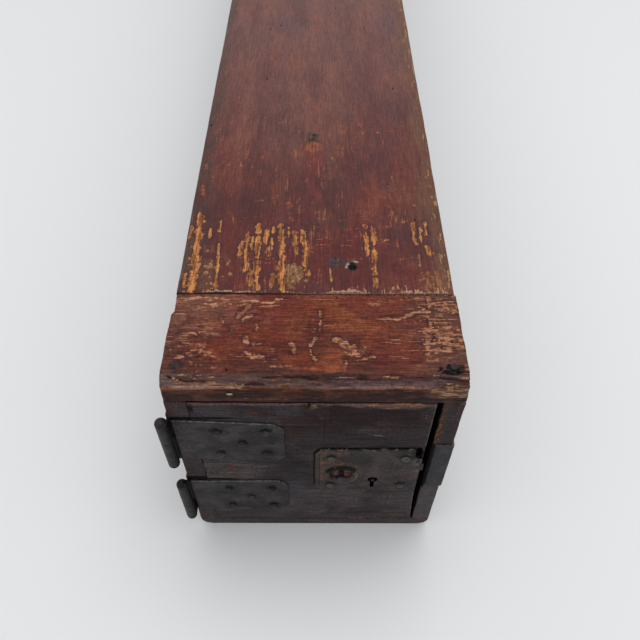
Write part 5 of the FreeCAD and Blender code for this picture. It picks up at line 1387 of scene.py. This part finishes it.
# %% Forge the hinges
# The pale blue-grey below marks rubbed edges and is also a painted highlight on them.
WORN_EDGE_GLINT = (0.16, 0.165, 0.18)
pin_low, pin_high = reach("upper_hinge_pin")
HINGE_X, HINGE_Y = ((pin_low + pin_high) / 2)[:2]
print(f"hinge axis at x {HINGE_X:.1f}, y {HINGE_Y:.1f} mm")
for level in ("upper", "lower"):
    for part, body in (("door_leaf", "door"), ("side_leaf", "chest")):
        leaf = forge(f"{level}_hinge_{part}", 0.5, 0.08, 0.1, 200)
        # Rubbed arrises are painted pale blue-grey, as wear and as a painted highlight.
        worn = ramp(1 - np.abs(leaf.normals).max(axis=1), 0.12, 0.25)
        barrel = fade(np.hypot(leaf.points[:, 0] - HINGE_X, leaf.points[:, 1] - HINGE_Y), 5.5, 7)
        worn *= leaf.mottled(7, 201, -0.2, 0.5) * (1 - barrel)
        leaf.paint(worn * 0.6, WORN_EDGE_GLINT)
        left = leaf.points[:, 0].min()
        # Painted highlight: the leaf's upper edge is washed pale blue-grey.
        top_edge = ramp(leaf.normals[:, 2], 0.25, 0.6) * ramp(leaf.points[:, 0], left + 12, left + 16)
        leaf.wash(top_edge * 0.9, (0.13, 0.135, 0.15))
        leaf.wash(barrel * 0.5, (0.024, 0.022, 0.022))
        # Painted shade: the barrel's sides are washed near black.
        leaf.wash(barrel * ramp(leaf.normals[:, 0], 0.35, 0.8) * 0.85, (0.007, 0.006, 0.006))
        leaf.wash(barrel * ramp(-leaf.normals[:, 0], 0.7, 0.95) * 0.6, (0.011, 0.010, 0.010))
        if body == "door":
            facing_front = ramp(-leaf.normals[:, 1], 0.5, 0.9)
            brown = leaf.mottled((16, 16, 9), 204, 0.1, 0.7, 3) * facing_front
            leaf.wash(brown * 0.5, (0.050, 0.037, 0.034))
            black = leaf.mottled((18, 18, 8), 205, -0.1, 0.5, 4) * facing_front
            leaf.wash(black * 0.6, (0.015, 0.013, 0.013))
            cloud = blot(leaf.points[:, [0, 2]], (-47, 180), 26, 34, 0.7, 226, 9) * (level == "upper")
            leaf.wash(cloud * 0.55, (0.015, 0.012, 0.012))
            shade_nails(leaf, nails_of(f"{level}_hinge_door_nails", TO_FRONT))
            # Painted shade: a black line on the door leaf beside the barrel.
            seam_shade = fade(np.abs(leaf.points[:, 0] - HINGE_X - 6.3), 0.9, 1.7)
            leaf.paint(seam_shade * fade(FRONT - 1.5 - leaf.points[:, 1], 1.0, 2.5), SHADE_BLACK)
        leaf.piece(f"{level}_{part}", hinge_iron, body, f"{level}_hinge_{part}", slot="wrought_iron")

# %% Forge the strap
strap = forge("strike_strap", 0.5, 0.1, 0.12, 210)
strap.wash(np.full(len(strap.points), 0.6), (0.026, 0.027, 0.031))
strap.wash(strap.mottled((9, 9, 14), 211, 0.0, 0.6, 3) * 0.5, (0.014, 0.014, 0.016))
# Painted shade: the strap's left part, next to the gap, is darkened.
strap.wash(fade(strap.points[:, 0], 106, 110) * 0.6, (0.010, 0.010, 0.011))
# Rubbed arrises are painted pale blue-grey, as wear and as a painted highlight.
strap.paint(ramp(1 - np.abs(strap.normals).max(axis=1), 0.12, 0.25) * 0.5, WORN_EDGE_GLINT)
# Painted highlight: the strap's upward faces are washed pale grey.
strap.wash(ramp(strap.normals[:, 2], 0.3, 0.7) * 0.8, (0.10, 0.10, 0.105))
strap.piece("strap", hinge_iron, "chest", "strike_strap", slot="wrought_iron")

# %% Forge the lock plate
plate = forge("lock_plate", 0.42, 0.08, 0.15, 220)
x, y, z = plate.points.T
outward = ramp(-plate.normals[:, 1], 0.2, 0.7)
from_pull = np.hypot(x - pull_x, z - pull_z)
spots = plate.points[:, [0, 2]]
ring = fade(np.abs(from_pull - 19.5 + noise(plate.points, 7, 226, 2) * 3.5), 1.5, 5.5)
rust = ring * ramp(z - pull_z - 0.8 * (x - pull_x), -8, 8) * outward
rust = np.maximum(rust, blot(spots, (14, 150), 26, 21, 0.7, 227, 5) * outward * 0.9)
plate.wash(rust * 0.85, (0.088, 0.046, 0.032))
plate.paint(rust * plate.mottled((3.5, 4, 2.6), 228, 0.0, 0.5, 2) * 0.6, (0.135, 0.064, 0.042))
rusty_parts = plate.mottled((15, 15, 10), 222, 0.0, 0.6, 4) * outward
plate.wash(rusty_parts * 0.5, (0.058, 0.036, 0.031))
plate.wash(plate.mottled((12, 12, 8), 229, 0.0, 0.6, 4) * outward * 0.5, (0.020, 0.018, 0.018))
plate.wash(blot(spots, (66, 128), 44, 40, 0.8, 219, 9) * outward * 0.4, (0.050, 0.038, 0.036))
off = off_plate(spots)
# Painted shadow: the plate's left edge is painted near black.
plate.paint(ramp(off, -0.9, -0.4) * fade(x, 6, 14) * ramp(z, 90, 96), SOOT_AND_SHADE)
inner_line = fade(np.abs(off + 4.2), 0.3, 0.9) * fade(x, 5, 9) * ramp(z, 92, 100)
plate.paint(inner_line * outward * 0.7, SOOT_AND_SHADE)
shade_nails(plate, nails_of("lock_plate_nails", TO_FRONT, quincunx=False), 0.8)
# Painted shade: the plate's upper right corner is painted black, as if broken away over a dark hole.
missing_corner_shade = blot(spots, (91.5, 155), 11, 25, 0.6, 218, 4)
plate.paint(missing_corner_shade, SHADE_BLACK)
# Painted shadow: the plate's top edge is painted near black, with a few pale flecks.
rim = ramp(z + noise(plate.points, (4, 5, 3), 223, 2) * 3.4, 163.6, 165.6)
plate.paint(rim, (0.010, 0.009, 0.009))
plate.paint(rim * plate.mottled((4, 4, 3), 224, 0.3, 0.5) * 0.8, (0.15, 0.115, 0.10))
scaly = ramp(x, 84, 94) * ramp(z, 118, 128) * fade(z, 150, 158) * outward
plate.paint(scaly * plate.mottled((3, 3, 4), 225, -0.2, 0.3) * 0.75, (0.105, 0.072, 0.070))
plate.piece("lock_face", plate_iron, "door", "lock_plate", slot="rusted_iron")

# %% Forge the rosette, with painted light and shade in its dish
rosette = forge("pull_rosette", 0.35, 0.06, 0.12, 230)
x, y, z = rosette.points.T
from_pull = np.hypot(x - pull_x, z - pull_z)
rosette.wash(np.full(len(x), 0.5), (0.045, 0.030, 0.026))
# Painted light: the lower part of the dish is washed lighter brown, as if lit from above.
lit = ramp(pull_z + 7 - z, 0, 3) * fade(from_pull, 11, 13) * ramp(x - pull_x, -9, -5)
rosette.wash(lit * 0.85, (0.100, 0.056, 0.046))
rosette.paint(lit * rosette.mottled((4, 5, 2.4), 227, 0.2, 0.5, 2) * 0.6, (0.19, 0.115, 0.09))
upper_rim = ramp(from_pull, 14, 15) * ramp(z - pull_z - 0.5 * (x - pull_x), -4, 6)
rosette.paint(upper_rim * rosette.mottled((5, 5, 3), 233, -0.4, 0.3) * 0.7, (0.095, 0.050, 0.038))
# Painted shade: a near-black crescent on the upper inner wall of the dish.
crescent = blot(rosette.points[:, [0, 2]], (pull_x - 1, pull_z + 10.5), 30, 11, 0.35, 232, 3.5)
rosette.wash(crescent, (0.006, 0.006, 0.006))
rosette.paint(crescent, (0.006, 0.006, 0.006))
# Painted highlight: the lower right rim is painted pale.
lower_rim = fade(np.abs(from_pull - 14.2), 0.6, 1.6) * ramp(x - pull_x - 0.8 * (z - pull_z), 4, 12)
rosette.paint(lower_rim * 0.7, (0.10, 0.088, 0.080))
rosette.piece("pull_dish", plate_iron, "door", "pull_rosette", slot="rusted_iron")

# %% Forge the knob
knob = forge("pull_knob", 0.3, 0.05, 0.05, 240)
# Painted light: the stem behind the head is washed brown as if lit.
stem = ramp(knob.points[:, 1], -761, -760)
knob.wash(np.full(len(stem), 0.9), (0.012, 0.010, 0.011))
knob.wash(stem, (0.050, 0.032, 0.028))
knob_face = ramp(-knob.normals[:, 1], 0.3, 0.8)
knob.wash(knob_face * 0.8, (0.040, 0.035, 0.043))
# Painted highlights: light mauve flecks on the knob's face.
knob.paint(knob_face * knob.mottled((4, 4, 3), 241, 0.1, 0.5, 2) * 0.8, (0.125, 0.110, 0.140))
knob.paint(knob_face * knob.mottled((4, 4, 3), 242, 0.1, 0.5, 2) * 0.7, (0.012, 0.010, 0.013))
knob.piece("pull_grip", plate_iron, "door", "pull_knob", slot="rusted_iron")

# %% [markdown]
# ## Nail heads
# Every nail was made by hand, so no two heads are the same, but all follow one rule: a low dome,
# hammered a little out of round. That is work for Geometry Nodes: one dome, an instance at each
# place, turned to face the way the nail does, and pushed about by noise.

# %% Grow the tree for nail heads
def nail_tree(name, material):
    tree = bpy.data.node_groups.new(name, "GeometryNodeTree")
    face = tree.interface
    face.new_socket("Geometry", in_out="INPUT", socket_type="NodeSocketGeometry")
    for label, value in (("Radius", 0.0038), ("Rise", 0.0016), ("Unevenness", 0.0004)):
        face.new_socket(label, in_out="INPUT", socket_type="NodeSocketFloat").default_value = value
    face.new_socket("Geometry", in_out="OUTPUT", socket_type="NodeSocketGeometry")

    def node(kind, settings=None, inputs=None):
        made = tree.nodes.new(kind)
        for key, value in (settings or {}).items():
            setattr(made, key, value)
        for key, value in (inputs or {}).items():
            if isinstance(value, bpy.types.NodeSocket):
                tree.links.new(value, made.inputs[key])
            else:
                made.inputs[key].default_value = value
        return made

    given = node("NodeGroupInput")
    ball = node("GeometryNodeMeshUVSphere", inputs={"Segments": 20, "Rings": 12, "Radius": 1.0})
    flatten = node("ShaderNodeCombineXYZ", inputs={"X": given.outputs["Radius"], "Y": given.outputs["Radius"],
                                                  "Z": given.outputs["Rise"]})
    dome = node("GeometryNodeTransform",
                inputs={"Geometry": ball.outputs["Mesh"], "Scale": flatten.outputs[0]})
    facing = node("GeometryNodeInputNamedAttribute", {"data_type": "FLOAT_VECTOR"}, {"Name": "facing"})
    turned = node("FunctionNodeAlignRotationToVector", {"axis": "Z"}, {"Vector": facing.outputs["Attribute"]})
    spin = node("FunctionNodeRandomValue", {"data_type": "FLOAT"}, {2: 0.0, 3: 6.28, "Seed": 7})
    spin_turn = node("FunctionNodeAxisAngleToRotation", inputs={"Axis": (0, 0, 1), "Angle": spin.outputs[1]})
    whole = node("FunctionNodeRotateRotation", {"rotation_space": "LOCAL"},
                 {"Rotation": turned.outputs[0], "Rotate By": spin_turn.outputs[0]})
    grow = node("FunctionNodeRandomValue", {"data_type": "FLOAT"}, {2: 0.9, 3: 1.08, "Seed": 11})
    placed = node("GeometryNodeInstanceOnPoints",
                  inputs={"Points": given.outputs["Geometry"], "Instance": dome.outputs["Geometry"],
                          "Rotation": whole.outputs[0], "Scale": grow.outputs[1]})
    real = node("GeometryNodeRealizeInstances", inputs={0: placed.outputs["Instances"]})
    lumps = node("ShaderNodeTexNoise", {"noise_dimensions": "3D"}, {"Scale": 380.0, "Detail": 1.0})
    centred = node("ShaderNodeVectorMath", {"operation": "SUBTRACT"},
                   {0: lumps.outputs["Color"], 1: (0.5, 0.5, 0.5)})
    push = node("ShaderNodeVectorMath", {"operation": "SCALE"},
                {0: centred.outputs[0], "Scale": given.outputs["Unevenness"]})
    bent = node("GeometryNodeSetPosition", inputs={"Geometry": real.outputs[0], "Offset": push.outputs[0]})
    smooth = node("GeometryNodeSetShadeSmooth", inputs={"Geometry": bent.outputs[0]})
    dressed = node("GeometryNodeSetMaterial", inputs={"Geometry": smooth.outputs[0], "Material": material})
    result = node("NodeGroupOutput")
    tree.links.new(dressed.outputs[0], result.inputs[0])
    return tree


# %% Drive the nails
def drive_nails(name, material, places, body, *nodes, slot, radius=HEAD, rise=HEAD_RISE, uneven=1.3):
    """Nail heads at ((x, y, z), (facing)) places, in millimetres."""
    mesh = bpy.data.meshes.new(name)
    mesh.from_pydata([tuple(part * MM for part in place) for place, _ in places], [], [])
    facing = mesh.attributes.new("facing", "FLOAT_VECTOR", "POINT")
    facing.data.foreach_set("vector", np.array([way for _, way in places], dtype=float).ravel())
    holder = bpy.data.objects.new(name, mesh)
    bpy.context.scene.collection.objects.link(holder)
    modifier = holder.modifiers.new("nails", "NODES")
    modifier.node_group = nail_tree(f"{name}_tree", material)
    sizes = {"Radius": radius * MM, "Rise": rise * MM, "Unevenness": uneven * MM}
    for socket in modifier.node_group.interface.items_tree:
        if socket.in_out == "INPUT" and socket.name in sizes:
            modifier[socket.identifier] = sizes[socket.name]
    heads = bpy.data.meshes.new_from_object(holder.evaluated_get(bpy.context.evaluated_depsgraph_get()))
    bpy.data.objects.remove(holder)
    adopt(name, heads, material, body, *nodes, slot=slot)


# %% Nail the irons down
door_nodes, side_nodes = ([f"{level}_hinge_{part}_nails" for level in ("upper", "lower")]
                          for part in ("door", "side"))
door_nails = [nail for node in door_nodes for nail in nails_of(node, TO_FRONT)]
side_nails = [nail for node in side_nodes for nail in nails_of(node, TO_LEFT)]
drive_nails("hinge_nails_door", hinge_iron, door_nails, "door", *door_nodes, slot="wrought_iron", rise=2.1)
strap_low, strap_high = reach("strike_strap_nails")
strap_nails = [((strap_high[0] - HEAD_RISE, (strap_low[1] + strap_high[1]) / 2, height), TO_RIGHT)
               for height in np.linspace(strap_low[2] + HEAD, strap_high[2] - HEAD, 3)]
drive_nails("hinge_nails_side", hinge_iron, side_nails + strap_nails, "chest", *side_nodes,
            "strike_strap_nails", slot="wrought_iron")
tack_low, tack_high = reach("lock_plate_tack")
tack_x, _, tack_z = (tack_low + tack_high) / 2
tack = ((tack_x, tack_low[1] + HEAD_RISE, tack_z), TO_FRONT)
drive_nails("plate_nails", nail_iron, nails_of("lock_plate_nails", TO_FRONT, quincunx=False), "door",
            "lock_plate_nails", slot="rusted_iron", rise=2.0)
drive_nails("plate_tack", plate_iron, [tack], "door", "lock_plate_tack", slot="rusted_iron",
            radius=2.2, rise=0.9, uneven=0.5)
cap_nail_low, cap_nail_high = reach("cap_nails")
CAP_HEAD, CAP_HEAD_RISE = 3.4, 0.9
cap_nails = [((across, back, ROOF - CAP_HEAD_RISE), TO_TOP)
             for across in (cap_nail_low[0] + CAP_HEAD, cap_nail_high[0] - CAP_HEAD)
             for back in (cap_nail_low[1] + CAP_HEAD, cap_nail_high[1] - CAP_HEAD)]
drive_nails("cap_nail_heads", dark_iron, cap_nails, "chest", "cap_nails", slot="wrought_iron",
            radius=CAP_HEAD, rise=CAP_HEAD_RISE, uneven=0.6)

# %% [markdown]
# ## The fitted solids that stay
# Pins, bolt, case and stops are already the right shape, so they only need a finish.

# %% Finish the solids that stay
STAY = {
    hinge_iron: ("upper_hinge_pin", "lower_hinge_pin", "door_stop_nails_left", "door_stop_nails_right"),
    lock_steel: ("lock_case", "key_pin", "bolt_spring"),
    bolt_steel: ("lock_bolt",),
    bare_wood: ("door_stop_left", "door_stop_right"),
    peg_wood: ("top_board_pegs", "bottom_board_pegs", "back_end_pegs"),
}
for material, nodes in STAY.items():
    for node in nodes:
        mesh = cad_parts[node].data
        mesh.materials.clear()
        mesh.materials.append(material)
print("kept solids:", sum(len(nodes) for nodes in STAY.values()))

# %% [markdown]
# ## Floor
# A plain pale floor catches the soft shadow under the door end.

# %% Lay the floor
floor_paint = Finish("floor_paint", roughness=0.9, specular=0.2)
floor_paint.shader.inputs["Base Color"].default_value = (0.76, 0.765, 0.77, 1)
floor_mesh = bpy.data.meshes.new("floor")
SPAN = 8
corners = [(-SPAN, -SPAN, 0), (SPAN, -SPAN, 0), (SPAN, SPAN, 0), (-SPAN, SPAN, 0)]
floor_mesh.from_pydata(corners, [], [(0, 1, 2, 3)])
floor_mesh.materials.append(floor_paint.material)
floor = bpy.data.objects.new("floor", floor_mesh)
bpy.context.scene.collection.objects.link(floor)
print(f"floor: {2 * SPAN} m square")
